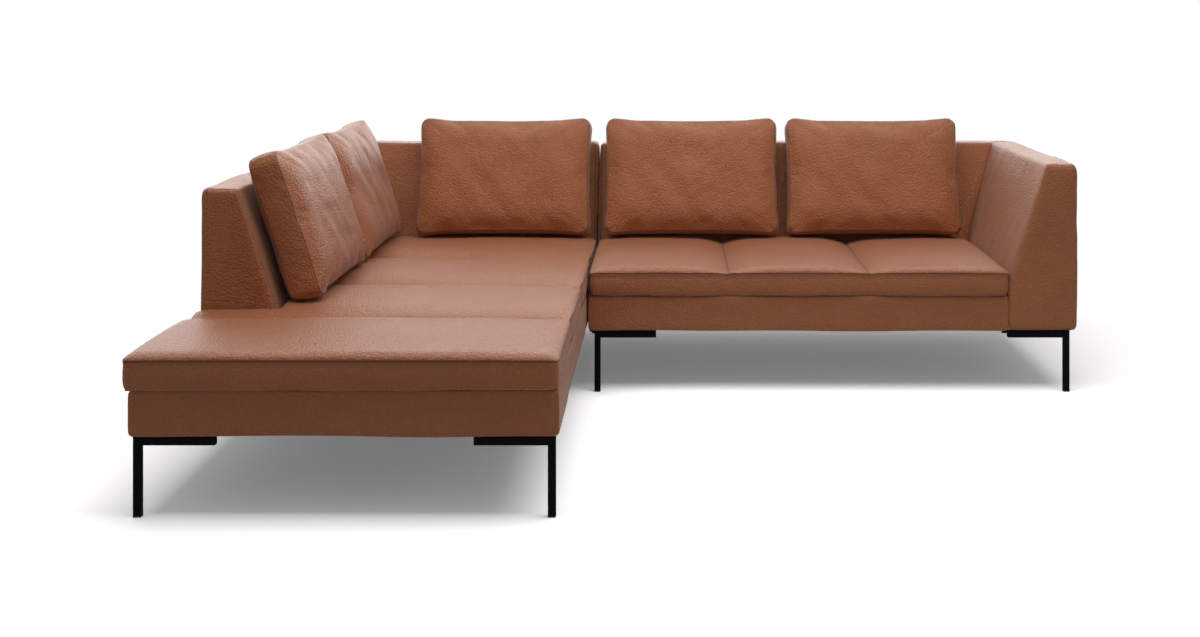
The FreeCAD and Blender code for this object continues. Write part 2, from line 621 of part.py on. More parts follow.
def scalloped_plan(x0, x1, y0, y1, left_stops, right_stops, front_stops, notch=None):
    """Plan outline whose sides draw in at the channel ends. Stops are channel positions along each side."""
    draw, r = size("side_draw"), size("corner_round")
    steps = []

    def side(fixed, stops, end, along_x, inward):
        """Bulging stretches between stops along one side, ending at end."""
        marks = list(stops) + [end]
        here = side.at
        for k, goal in enumerate(marks):
            goal_draw = draw if k < len(stops) else 0
            mid_run = (here + goal) / 2
            mid_out = fixed
            end_out = fixed + inward * goal_draw
            if along_x:
                steps.append((Vector(mid_run, mid_out - inward * 0.2, 0), Vector(goal, end_out, 0)))
            else:
                steps.append((Vector(mid_out - inward * 0.2, mid_run, 0), Vector(end_out, goal, 0)))
            here = goal
    corner = r * (1 - math.sqrt(0.5))
    start = Vector(x0 + r, y0, 0)
    side.at = x0 + r
    side(y0, front_stops, x1 - r, True, 1)
    steps.append((Vector(x1 - corner, y0 + corner, 0), Vector(x1, y0 + r, 0)))
    side.at = y0 + r
    side(x1, right_stops, y1, False, -1)
    if notch:
        nx, ny = notch
        steps.append((None, Vector(nx, y1, 0)))
        steps.append((None, Vector(nx, ny, 0)))
        steps.append((None, Vector(x0, ny, 0)))
        side.at = ny
    else:
        steps.append((None, Vector(x0, y1, 0)))
        side.at = y1
    side(x0, list(reversed(left_stops)), y0 + r, False, 1)
    steps.append((Vector(x0 + corner, y0 + corner, 0), start))
    return wire(start, steps)


def along_y(run, height):
    return Vector(0, run, height)


def along_x(run, height):
    return Vector(run, 0, height)


fit = size("fit")
left, right = -size("overall_width") / 2, size("chaise_right + pad_reach")
front, rear = -size("overall_depth") / 2, size("seat_rear") - fit
inner, step = size("side_back_inner") + fit, size("side_back_front") - fit
channels = [size("front_y") + size("chaise_section") * i for i in (1, 2, 3)]
across = prism(crowned_section([front] + channels + [rear], 0, along_y), Vector(right - left, 0, 0))
across.translate(Vector(left, 0, 0))
lengthwise = prism(crowned_section([left, right], 2, along_x), Vector(0, rear - front, 0))
lengthwise.translate(Vector(0, front, 0))
plan = prism(scalloped_plan(left, right, front, rear, channels[:1], channels, [], (inner, step)),
             Vector(0, 0, size("seat_top + 20")))
chaise_outer = across.common(lengthwise).common(plan).removeSplitter()

core = doc.addObject("PartDesign::Body", "chaise_seat_core")
core_front = "-overall_depth / 2 + core_wall"
core_left = "-overall_width / 2 + core_wall"
core_outline = sketch(core, "chaise_core_outline", "XY_Plane", [
    (core_left, core_front), ("chaise_right - core_wall", core_front),
    ("chaise_right - core_wall", "seat_rear - core_wall"), ("side_back_inner + core_wall", "seat_rear - core_wall"),
    ("side_back_inner + core_wall", "side_back_front - core_wall"),
    (core_left, "side_back_front - core_wall")], lift="pad_bottom")
pad_up(core, "chaise_core_block", core_outline, "pad_side - core_top")
node(core, "chaise_seat_core")


def cavity(low_x, low_y, high_x, high_y, top):
    """Room for a foam core, its clearance included, open at the pad's underside."""
    floor = size("pad_bottom") - 1
    return Part.makeBox(high_x - low_x + 2 * fit, high_y - low_y + 2 * fit, top + fit - floor,
                        Vector(low_x - fit, low_y - fit, floor))


core_top = size("pad_bottom + pad_side - core_top")
wall = size("core_wall")
chaise_cavity = cavity(left + wall, front + wall, size("chaise_right") - wall, step + fit - wall, core_top).fuse(
    cavity(inner - fit + wall, front + wall, size("chaise_right") - wall, rear + fit - wall, core_top))
node(shaped("chaise_seat_pad", chaise_outer.cut(chaise_cavity)), "chaise_seat_pad")

left, right = size("sofa_left + pad_shy"), size("arm_inner") - fit
front = size("sofa_front") - size("sofa_overhang")
sections = int(size("sofa_sections"))
channels = [left + (right - left) * i / sections for i in range(1, sections)]
across = prism(crowned_section([left] + channels + [right], 0, along_x), Vector(0, rear - front, 0))
across.translate(Vector(0, front, 0))
lengthwise = prism(crowned_section([front, rear], 2, along_y), Vector(right - left, 0, 0))
lengthwise.translate(Vector(left, 0, 0))
plan = prism(scalloped_plan(left, right, front, rear, [], [], channels), Vector(0, 0, size("seat_top + 20")))
sofa_outer = across.common(lengthwise).common(plan).removeSplitter()
sofa_core = box("sofa_seat_core", ("sofa_left + pad_shy + core_wall", "sofa_front - sofa_overhang + core_wall", "pad_bottom"),
                ("arm_inner - core_wall", "seat_rear - core_wall", "pad_bottom + pad_side - core_top"))
node(sofa_core, "sofa_seat_core")
hollow = cavity(left + wall, front + wall, right + fit - wall, rear + fit - wall, core_top)
node(shaped("sofa_seat_pad", sofa_outer.cut(hollow)), "sofa_seat_pad")


# Back cushions: box-bordered, drawn in along the sides, crowned front and back, bottom flat on the seat
def puff_steps(start, end, out):
    """Arcs of a crowned face from one border seam to the other, as (mid, end) steps of (run, height)."""
    reach = math.copysign(size("cushion_shoulder"), end - start)
    rise, base = out * size("cushion_rise"), size("gusset") / 2
    return [((start + reach * 0.34, base + rise * 0.62), (start + reach, base + rise)),
            (((start + end) / 2, base + out), (end - reach, base + rise)),
            ((end - reach * 0.34, base + rise * 0.62), (end, base))]


def puff_section(front_start, back_start, end, extra, to_vector):
    """Closed section through a cushion's thickness. to_vector takes the depth in front of the middle and the run."""
    half = size("gusset") / 2
    steps = [(None, to_vector(half, front_start))]
    steps += [(to_vector(m[1], m[0]), to_vector(e[1], e[0]))
              for m, e in puff_steps(front_start, end, size("front_bulge") + extra)]
    steps.append((None, to_vector(-half, end)))
    steps += [(to_vector(-m[1], m[0]), to_vector(-e[1], e[0]))
              for m, e in puff_steps(end, back_start, size("back_bulge") + extra)]
    return wire(to_vector(-half, back_start), steps)


def cushion_outline(width, depth):
    """Front outline with sides drawn in between rounded corners."""
    height, draw, r = size("cushion_height"), size("cushion_draw"), size("cushion_round")
    x0, x1, z0, z1 = -width / 2, width / 2, -size("gusset") / 2 * lean_rate, height
    c = r * (1 - math.sqrt(0.5))

    def spot(x, z):
        return Vector(x, depth, z)
    return wire(spot(x0 + r, z0), [
        (None, spot(x1 - r, z0)), (spot(x1 - c, z0 + c), spot(x1, z0 + r)),
        (spot(x1 - draw, (z0 + z1) / 2), spot(x1, z1 - r)), (spot(x1 - c, z1 - c), spot(x1 - r, z1)),
        (spot((x0 + x1) / 2, z1 - draw), spot(x0 + r, z1)), (spot(x0 + c, z1 - c), spot(x0, z1 - r)),
        (spot(x0 + draw, (z0 + z1) / 2), spot(x0, z0 + r)), (spot(x0 + c, z0 + c), spot(x0 + r, z0))])


lean_rate = math.tan(math.radians(size("back_lean")))


def cushion(label, across, x, y, heading):
    """A cushion set against a back. across names its width, and heading is the turn about Z from facing -Y."""
    width, height, half = size(across), size("cushion_height"), size("gusset") / 2
    upright = prism(puff_section(-half * lean_rate, half * lean_rate, height, 0,
                                 lambda depth, run: Vector(-width / 2, -depth, run)), Vector(width, 0, 0))
    sideways = prism(puff_section(-width / 2, -width / 2, width / 2, 2,
                                  lambda depth, run: Vector(run, -depth, -half)), Vector(0, 0, height + width))
    depth = size("cushion_front + cushion_back")
    outline = prism(cushion_outline(width, depth), Vector(0, -2 * depth, 0))
    puff = upright.common(sideways).common(outline).removeSplitter()
    wall, thick = size("cushion_core_wall"), size("cushion_core_thickness")
    hollow = Part.makeBox(width - 2 * wall + 2 * fit, thick + 2 * fit, height - 2 * wall + 2 * fit,
                          Vector(-width / 2 + wall - fit, -thick / 2 - fit, wall - fit))
    turn = Rotation(Vector(0, 0, 1), heading).multiply(Rotation(Vector(1, 0, 0), -size("back_lean")))
    cover = shaped(label + "_cover", puff.cut(hollow))
    place(cover, x, y, "cushion_level", turn)
    node(cover, label + "_cover")
    foam = doc.addObject("Part::Box", label + "_foam")
    bind(foam, "Length", across + " - 2 * cushion_core_wall")
    bind(foam, "Width", "cushion_core_thickness")
    bind(foam, "Height", "cushion_height - 2 * cushion_core_wall")
    foam.Placement = Placement(Vector(-width / 2 + wall, -thick / 2, wall), Rotation())
    bind(foam, "Placement.Base.x", "-%s / 2 + cushion_core_wall" % across)
    bind(foam, "Placement.Base.y", "-cushion_core_thickness / 2")
    bind(foam, "Placement.Base.z", "cushion_core_wall")
    inside = group(label + "_core", [foam])
    place(inside, x, y, "cushion_level", turn)
    node(inside, label + "_core")


side_x = "chaise_left + cushion_set"
rear_y_set = "rear_y - cushion_set"
near_y = "side_back_front + side_cushion_start + side_cushion_width / 2"
corner_x = "chaise_left + cushion_reach + rear_cushion_start + rear_cushion_width / 2"
left_x = "sofa_left + sofa_cushion_start + sofa_cushion_width / 2"
cushion("side_cushion_near", "side_cushion_width", side_x, near_y, 90)
cushion("side_cushion_far", "side_cushion_width", side_x, near_y + " + side_cushion_width + side_cushion_gap", 90)
cushion("rear_cushion", "rear_cushion_width", corner_x, rear_y_set, 0)
cushion("sofa_cushion_left", "sofa_cushion_width", left_x, rear_y_set, 0)
cushion("sofa_cushion_right", "sofa_cushion_width", left_x + " + sofa_cushion_width + sofa_cushion_gap",
        rear_y_set, 0)

# Every object has to be sound before anything is written
doc.recompute()
faults = [o.Label for o in doc.Objects if "Invalid" in o.State or "Error" in o.State]
for obj in nodes:
    if obj.Shape.isNull() or not obj.Shape.isValid() or not obj.Shape.Solids:
        faults.append(obj.Label + " shape")
if faults:
    raise RuntimeError("not sound: " + ", ".join(faults))

os.makedirs("parts", exist_ok=True)
for obj in nodes:
    obj.Shape.exportStep("parts/%s.step" % obj.Label)
whole = Part.makeCompound([o.Shape for o in nodes]).BoundBox
print("nodes", len(nodes), "solids", sum(len(o.Shape.Solids) for o in nodes))
print("box %.1f..%.1f  %.1f..%.1f  %.1f..%.1f" % (whole.XMin, whole.XMax, whole.YMin, whole.YMax,
                                                 whole.ZMin, whole.ZMax))
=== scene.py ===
import bmesh
import bpy
import json
import math
import numpy as np
from mathutils import Matrix, Vector


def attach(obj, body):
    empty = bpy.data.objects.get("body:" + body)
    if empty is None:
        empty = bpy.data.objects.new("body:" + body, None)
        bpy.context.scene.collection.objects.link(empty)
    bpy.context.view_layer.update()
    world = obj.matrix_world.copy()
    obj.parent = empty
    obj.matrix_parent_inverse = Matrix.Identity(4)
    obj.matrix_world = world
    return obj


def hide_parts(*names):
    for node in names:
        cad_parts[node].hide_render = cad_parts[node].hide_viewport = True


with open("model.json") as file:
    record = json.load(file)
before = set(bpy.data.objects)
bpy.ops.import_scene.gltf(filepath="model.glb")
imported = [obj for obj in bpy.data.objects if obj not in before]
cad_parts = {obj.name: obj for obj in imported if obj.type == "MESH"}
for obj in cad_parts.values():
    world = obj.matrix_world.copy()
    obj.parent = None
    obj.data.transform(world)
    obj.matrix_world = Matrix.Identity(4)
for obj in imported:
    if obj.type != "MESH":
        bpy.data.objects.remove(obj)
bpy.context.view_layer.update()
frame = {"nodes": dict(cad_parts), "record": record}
nodes = frame["nodes"]
print("frame loaded, pieces", len(nodes))

# Planes of the two sections, in metres, as the solids have them
plan = {
    "baseBottom": 0.206, "baseTop": 0.320, "padBottom": 0.3223, "seam": 0.397, "seatTop": 0.427,
    "backTop": 0.761, "chaiseLeft": -1.356, "chaiseRight": -0.275, "chaiseFront": -1.091,
    "sofaLeft": -0.270, "sofaRight": 1.369, "sofaFront": 0.151, "armInner": 1.134,
    "sideBackFront": -0.521, "rear": 1.109, "wedgeSeat": 0.235, "wedgeTop": 0.11673,
    "lean": math.radians(18), "apron": 0.012, "outerApron": 0.015, "backTuck": 0.003,
    "armTuck": 0.009, "fit": 0.0003,
}
tiny = 1e-6
noZero = 1e-9

# The photograph's view: level, square on, with the picture's centre shifted down and to the left
cameraPlan = {"place": (-0.00325, -4.816, 1.266), "lens": 44.7, "sensor": 36.0,
              "shiftPixels": (-68, -305.5), "pictureWidth": 1200}
cameraData = bpy.data.cameras.new("photoView")
cameraData.lens = cameraPlan["lens"]
cameraData.sensor_width = cameraPlan["sensor"]
cameraData.shift_x, cameraData.shift_y = (pixels / cameraPlan["pictureWidth"]
                                          for pixels in cameraPlan["shiftPixels"])
photoView = bpy.data.objects.new("photoView", cameraData)
photoView.location = cameraPlan["place"]
photoView.rotation_euler = (math.pi / 2, 0, 0)
bpy.context.scene.collection.objects.link(photoView)
bpy.context.scene.camera = photoView
bpy.context.scene.view_settings.view_transform = "Standard"


# Materials: a socket that takes part in Python expressions
class Wire:
    def __init__(self, tree, socket):
        self.tree = tree
        self.socket = socket

    def add(self, kind, settings=None, inputs=None, output=0):
        made = self.tree.nodes.new(kind)
        for name, value in (settings or {}).items():
            setattr(made, name, value)
        for name, value in (inputs or {}).items():
            if isinstance(value, Wire):
                self.tree.links.new(value.socket, made.inputs[name])
            else:
                made.inputs[name].default_value = value
        return Wire(self.tree, made.outputs[output] if made.outputs else None)

    def sibling(self, key):
        # another output of the same node
        return Wire(self.tree, self.socket.node.outputs[key])

    def maths(self, operation, *values):
        return self.add("ShaderNodeMath", {"operation": operation}, dict(enumerate(values)))

    def absolute(self):
        return self.maths("ABSOLUTE", self)

    def mix(self, amount, first, second):
        return self.add("ShaderNodeMix", {"data_type": "RGBA"}, {0: amount, 6: first, 7: second}, 2)

    def ramp(self, low, high):
        return self.add("ShaderNodeMapRange", {"interpolation_type": "SMOOTHSTEP"},
                        {"Value": self, "From Min": low, "From Max": high})

    def __add__(self, other):
        return self.maths("ADD", self, other)

    __radd__ = __add__

    def __sub__(self, other):
        return self.maths("SUBTRACT", self, other)

    def __rsub__(self, other):
        return self.maths("SUBTRACT", other, self)

    def __mul__(self, other):
        return self.maths("MULTIPLY", self, other)

    __rmul__ = __mul__


def newMaterial(name):
    material = bpy.data.materials.new(name)
    material.use_nodes = True
    material.node_tree.nodes.clear()
    return material, Wire(material.node_tree, None)


def finishMaterial(start, inputs):
    surface = start.add("ShaderNodeBsdfPrincipled", None, inputs)
    start.add("ShaderNodeOutputMaterial", None, {"Surface": surface})


# Pairs are the low and high end of a smooth step, and gaps are metres from a sewn line
leatherPlan = {
    "colour": (0.400, 0.135, 0.049, 1), "dark": (0.310, 0.098, 0.034, 1),
    # fold is painted shade: the dark colour laid along the seam and channel grooves
    "thread": (0.42, 0.17, 0.075, 1), "fold": (0.085, 0.028, 0.011, 1),
    "pebble": 122.0, "pebbleSmooth": 0.35, "sway": 38.0, "swayBy": 0.012, "fine": 620.0,
    "broad": 5.0, "cloud": 34.0, "bump": 0.0021, "strength": 0.9,
    "index": 1.42, "sheen": 0.28, "sheenRoughness": 0.32,
    "creaseStep": (0.0, 0.16), "broadStep": (0.35, 0.7), "cloudStep": (0.4, 0.75),
    "seamGap": (0.0003, 0.0022), "channelGap": (0.0006, 0.0045), "puckerGap": (0.002, 0.014),
    "stitchRow": 0.0065, "stitchGap": (0.0003, 0.0011), "stitchPitch": 0.0055,
    "stitchStep": (-0.7, 0.1),
}
# How much each pattern raises or sinks the surface, shades its colour and roughens it; the seam
# entry paints shade into the sewn grooves
leatherRelief = {"pebble": 0.75, "fine": 0.12, "crease": 0.35, "cloud": 0.5, "seam": 1.6,
                 "stitch": 0.5}
leatherShade = {"crease": 0.35, "broad": 0.25, "cloud": 0.15, "pucker": 0.08, "seam": 0.7,
                "stitch": 0.45}
leatherRough = {"base": 0.38, "crease": 0.10, "cloud": 0.06}


def leatherMaterial(name):
    material, start = newMaterial(name)
    place = start.add("ShaderNodeTexCoord", None, None, 3)
    sway = start.add("ShaderNodeTexNoise", {"noise_dimensions": "3D"},
                     {"Vector": place, "Scale": leatherPlan["sway"], "Detail": 2.0}, 1)
    swayed = start.add("ShaderNodeVectorMath", {"operation": "MULTIPLY_ADD"},
                       {0: sway, 1: (leatherPlan["swayBy"],) * 3, 2: place})
    cells = start.add("ShaderNodeTexVoronoi", {"feature": "SMOOTH_F1"},
                      {"Vector": swayed, "Scale": leatherPlan["pebble"],
                       "Smoothness": leatherPlan["pebbleSmooth"]})
    creases = start.add("ShaderNodeTexVoronoi", {"feature": "DISTANCE_TO_EDGE"},
                        {"Vector": swayed, "Scale": leatherPlan["pebble"]})
    crease = 1.0 - creases.ramp(*leatherPlan["creaseStep"])
    fine = start.add("ShaderNodeTexNoise", None,
                     {"Vector": place, "Scale": leatherPlan["fine"], "Detail": 3.0})
    broad = start.add("ShaderNodeTexNoise", None,
                      {"Vector": place, "Scale": leatherPlan["broad"], "Detail": 3.0})
    cloud = start.add("ShaderNodeTexNoise", None,
                      {"Vector": place, "Scale": leatherPlan["cloud"], "Detail": 4.0})

    # Sewn lines: each piece keeps its distance from up to three of them in the attribute "seams"
    gaps = start.add("ShaderNodeAttribute", {"attribute_name": "seams"}, None, 1)
    first = gaps.add("ShaderNodeSeparateXYZ", None, {0: gaps})
    away = first.maths("MINIMUM", first.absolute(), first.sibling(1).absolute())
    channel = first.sibling(2).absolute()
    seam = first.maths("MAXIMUM", 1.0 - away.ramp(*leatherPlan["seamGap"]),
                       1.0 - channel.ramp(*leatherPlan["channelGap"]))
    along = start.add("ShaderNodeSeparateXYZ", None, {0: place})
    run = along + along.sibling(1) + along.sibling(2)
    turns = run * (2 * math.pi / leatherPlan["stitchPitch"])
    dash = run.maths("SINE", turns).ramp(*leatherPlan["stitchStep"])
    row = 1.0 - (away - leatherPlan["stitchRow"]).absolute().ramp(*leatherPlan["stitchGap"])
    stitch = row * dash
    # pucker is painted shade: the colour darkens slightly in a band beside each seam
    pucker = 1.0 - away.ramp(*leatherPlan["puckerGap"])

    height = (1.0 - cells) * leatherRelief["pebble"] + fine * leatherRelief["fine"] \
        - crease * leatherRelief["crease"] + cloud * leatherRelief["cloud"] \
        - seam * leatherRelief["seam"] + stitch * leatherRelief["stitch"]
    normal = start.add("ShaderNodeBump", None, {"Strength": leatherPlan["strength"],
                                                "Distance": leatherPlan["bump"], "Height": height})
    shade = crease * leatherShade["crease"] \
        + broad.ramp(*leatherPlan["broadStep"]) * leatherShade["broad"] \
        + cloud.ramp(*leatherPlan["cloudStep"]) * leatherShade["cloud"] \
        + pucker * leatherShade["pucker"]
    colour = start.mix(shade, leatherPlan["colour"], leatherPlan["dark"])
    # painted shade: the sewn seam and channel grooves darken towards fold
    colour = start.mix(seam * leatherShade["seam"], colour, leatherPlan["fold"])
    colour = start.mix(stitch * leatherShade["stitch"], colour, leatherPlan["thread"])
    rough = leatherRough["base"] + crease * leatherRough["crease"] + cloud * leatherRough["cloud"]
    finishMaterial(start, {"Base Color": colour, "Roughness": rough, "Normal": normal,
                           "IOR": leatherPlan["index"], "Sheen Weight": leatherPlan["sheen"],
                           "Sheen Roughness": leatherPlan["sheenRoughness"]})
    return material


plainPlan = {"cloud": 9.0, "mottle": 0.12, "tones": (0.35, 0.65), "strength": 0.5}


def plainMaterial(name, colour, dark, roughness, scale, bump, stretch=(1, 1, 1), metallic=0.0,
                  shine=0.5):
    # steel, timber, foam, cloth or plastic: two tones in a stretched noise, with a slight bump
    material, start = newMaterial(name)
    place = start.add("ShaderNodeTexCoord", None, None, 3)
    drawn = start.add("ShaderNodeMapping", None, {"Vector": place, "Scale": stretch})
    grain = start.add("ShaderNodeTexNoise", None, {"Vector": drawn, "Scale": scale, "Detail": 4.0})
    cloud = start.add("ShaderNodeTexNoise", None,
                      {"Vector": place, "Scale": plainPlan["cloud"], "Detail": 2.0})
    normal = start.add("ShaderNodeBump", None, {"Strength": plainPlan["strength"],
                                                "Distance": bump, "Height": grain})
    rough = cloud * plainPlan["mottle"] + (roughness - plainPlan["mottle"] / 2)
    finishMaterial(start, {"Base Color": start.mix(grain.ramp(*plainPlan["tones"]), colour, dark),
                           "Roughness": rough, "Metallic": metallic, "Normal": normal,
                           "Specular IOR Level": shine})
    return material


leather = leatherMaterial("tanLeather")
finishes = {
    "timber": plainMaterial("sawnPine", (0.62, 0.46, 0.29, 1), (0.50, 0.34, 0.20, 1), 0.7, 60.0,
                            0.0004, stretch=(0.12, 0.12, 1.0)),
    "leg_steel": plainMaterial("blackPowderCoat", (0.0052, 0.0052, 0.0054, 1),
                               (0.0045, 0.0045, 0.0047, 1), 0.42, 900.0, 0.00006, shine=0.06),
    "glide": plainMaterial("glidePlastic", (0.03, 0.03, 0.03, 1), (0.025, 0.025, 0.025, 1), 0.55,
                           400.0, 0.00005),
    "hardware_steel": plainMaterial("zincPlate", (0.60, 0.60, 0.62, 1), (0.50, 0.50, 0.53, 1),
                                    0.35, 300.0, 0.00004, metallic=1.0),
    "foam": plainMaterial("seatFoam", (0.83, 0.78, 0.62, 1), (0.74, 0.68, 0.50, 1), 0.9, 500.0,
                          0.0006),
    "webbing": plainMaterial("juteWebbing", (0.34, 0.26, 0.17, 1), (0.22, 0.16, 0.10, 1), 0.85,
                             450.0, 0.0005, stretch=(1, 1, 0.2)),
    "dust_cloth": plainMaterial("dustCloth", (0.030, 0.030, 0.031, 1), (0.020, 0.020, 0.021, 1),
                                0.9, 700.0, 0.0003),
    "leather": leather,
}
slotOf = {entry["node"]: entry["material_slot"] for entry in frame["record"]["subparts"]}
for nodeName, node in nodes.items():
    node.data.materials.clear()
    node.data.materials.append(finishes[slotOf[nodeName]])
print("materials made")


# Modelling helpers
def pickNothing():
    if bpy.context.object and bpy.context.object.mode != "OBJECT":
        bpy.ops.object.mode_set(mode="OBJECT")
    bpy.ops.object.select_all(action="DESELECT")


def pick(obj):
    pickNothing()
    obj.select_set(True)
    bpy.context.view_layer.objects.active = obj


def nameIt(obj, name):
    obj.name = name
    obj.data.name = name


def openMesh(obj, kind):
    bpy.ops.object.mode_set(mode="EDIT")
    bpy.ops.mesh.select_mode(type=kind)
    bpy.ops.mesh.select_all(action="DESELECT")
    return bmesh.from_edit_mesh(obj.data)


def selectEdges(obj, test):
    # in edit mode, the edges that a test on their two ends picks out
    work = openMesh(obj, "EDGE")
    for edge in work.edges:
        edge.select_set(bool(test(edge.verts[0].co, edge.verts[1].co)))
    bmesh.update_edit_mesh(obj.data)


def selectFaces(obj, test):
    # in edit mode, the faces that a test on their middle picks out
    work = openMesh(obj, "FACE")
    for face in work.faces:
        face.select_set(bool(test(face.calc_center_median())))
    bmesh.update_edit_mesh(obj.data)


def addBlock(name, low, high, cuts):
    # a cube at its size and place, divided along each axis
    low, high = Vector(low), Vector(high)
    pickNothing()
    bpy.ops.mesh.primitive_cube_add(size=1, location=(low + high) / 2)
    block = bpy.context.object
    nameIt(block, name)
    block.scale = high - low
    bpy.ops.object.transform_apply(location=True, rotation=True, scale=True)
    for axis in range(3):
        if cuts[axis]:
            selectEdges(block, lambda a, b: abs(abs((b - a)[axis]) - (b - a).length) < tiny)
            bpy.ops.mesh.subdivide(number_cuts=cuts[axis])
            bpy.ops.object.mode_set(mode="OBJECT")
    return block


def pointsOf(obj):
    flat = np.empty(len(obj.data.vertices) * 3)
    obj.data.vertices.foreach_get("co", flat)
    return flat.reshape(-1, 3)


def movePoints(obj, points):
    flat = np.ascontiguousarray(points, dtype=np.float64).ravel()
    obj.data.vertices.foreach_set("co", flat)
    obj.data.update()


def keepSeams(obj, first=None, second=None, third=None):
    # distances in metres from up to three sewn lines, read by the leather
    values = np.ones((len(obj.data.vertices), 3))
    for column, distances in enumerate((first, second, third)):
        if distances is not None:
            values[:, column] = distances
    layer = obj.data.attributes.new("seams", "FLOAT_VECTOR", "POINT")
    layer.data.foreach_set("vector", values.ravel())


def applyModifier(obj, kind, settings):
    pick(obj)
    modifier = obj.modifiers.new(kind.lower(), kind)
    for name, value in settings.items():
        setattr(modifier, name, value)
    bpy.ops.object.modifier_apply(modifier=modifier.name)


def subdivideOnce(obj):
    applyModifier(obj, "SUBSURF", {"levels": 1, "render_levels": 1})


def soften(points, wavelength, seed, waves=14, spread=(0.65, 1.5)):
    # a smooth random field from plane waves, about -1 to 1
    dice = np.random.RandomState(seed)
    total = np.zeros(len(points))
    for _ in range(waves):
        heading = dice.normal(size=3)
        heading /= np.linalg.norm(heading)
        length = wavelength * dice.uniform(*spread)
        phase = dice.uniform(0, 2 * math.pi)
        total += np.sin(points @ heading * (2 * math.pi / length) + phase)
    return total / math.sqrt(waves / 2.0)


def shoulder(distance, reach, half, share):
    # rise of a stuffed face from its seam: steep over the reach, then slow to the middle
    near = np.clip(distance / reach, 0, 1)
    far = np.clip(distance / half, 0, 1)
    return share * (1 - (1 - near) ** 1.8) + (1 - share) * (1 - (1 - far) ** 2)


def alongAxis(axis, value):
    vector = np.zeros(3)
    vector[axis] = value
    return vector


def unitOf(vectors):
    return vectors / np.maximum(np.linalg.norm(vectors, axis=1), noZero)[:, None]


smoothAngle = math.radians(60)


def finishPiece(obj, node, body, material=leather):
    obj.data.materials.clear()
    obj.data.materials.append(material)
    pick(obj)
    bpy.ops.object.shade_smooth_by_angle(angle=smoothAngle)
    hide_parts(node)
    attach(obj, body)


# Padded covers of the backs and the arm, rounded by pushing a divided block out from a smaller
# solid, then hollowed from below
coverPlan = {
    "step": 0.022, "round": 0.020, "tight": 0.006, "endShare": 0.6, "outShare": 0.15,
    "mitreInset": 0.0002, "mitreFade": 0.08, "floorFade": 0.05, "floorLeast": 0.2,
    "wave": 0.34, "waveRise": 0.0012, "ripple": 0.09, "rippleRise": 0.0005,
    "endSeam": 0.010, "topSeam": 0.022, "topBand": 0.03,
    "roof": 0.020, "slopeWall": 0.030, "below": 0.19, "farBelow": 0.18, "past": 0.2, "under": 0.4,
}


def nearestInside(points, planes, rounds=40):
    # closest points of a convex solid, its planes given as (outward normal, offset)
    current = points.copy()
    carried = [np.zeros_like(points) for _ in planes]
    for _ in range(rounds):
        for i, (normal, offset) in enumerate(planes):
            trial = current + carried[i]
            over = np.maximum(0, trial @ normal - offset)
            moved = trial - over[:, None] * normal
            carried[i] = trial - moved
            current = moved
    return current


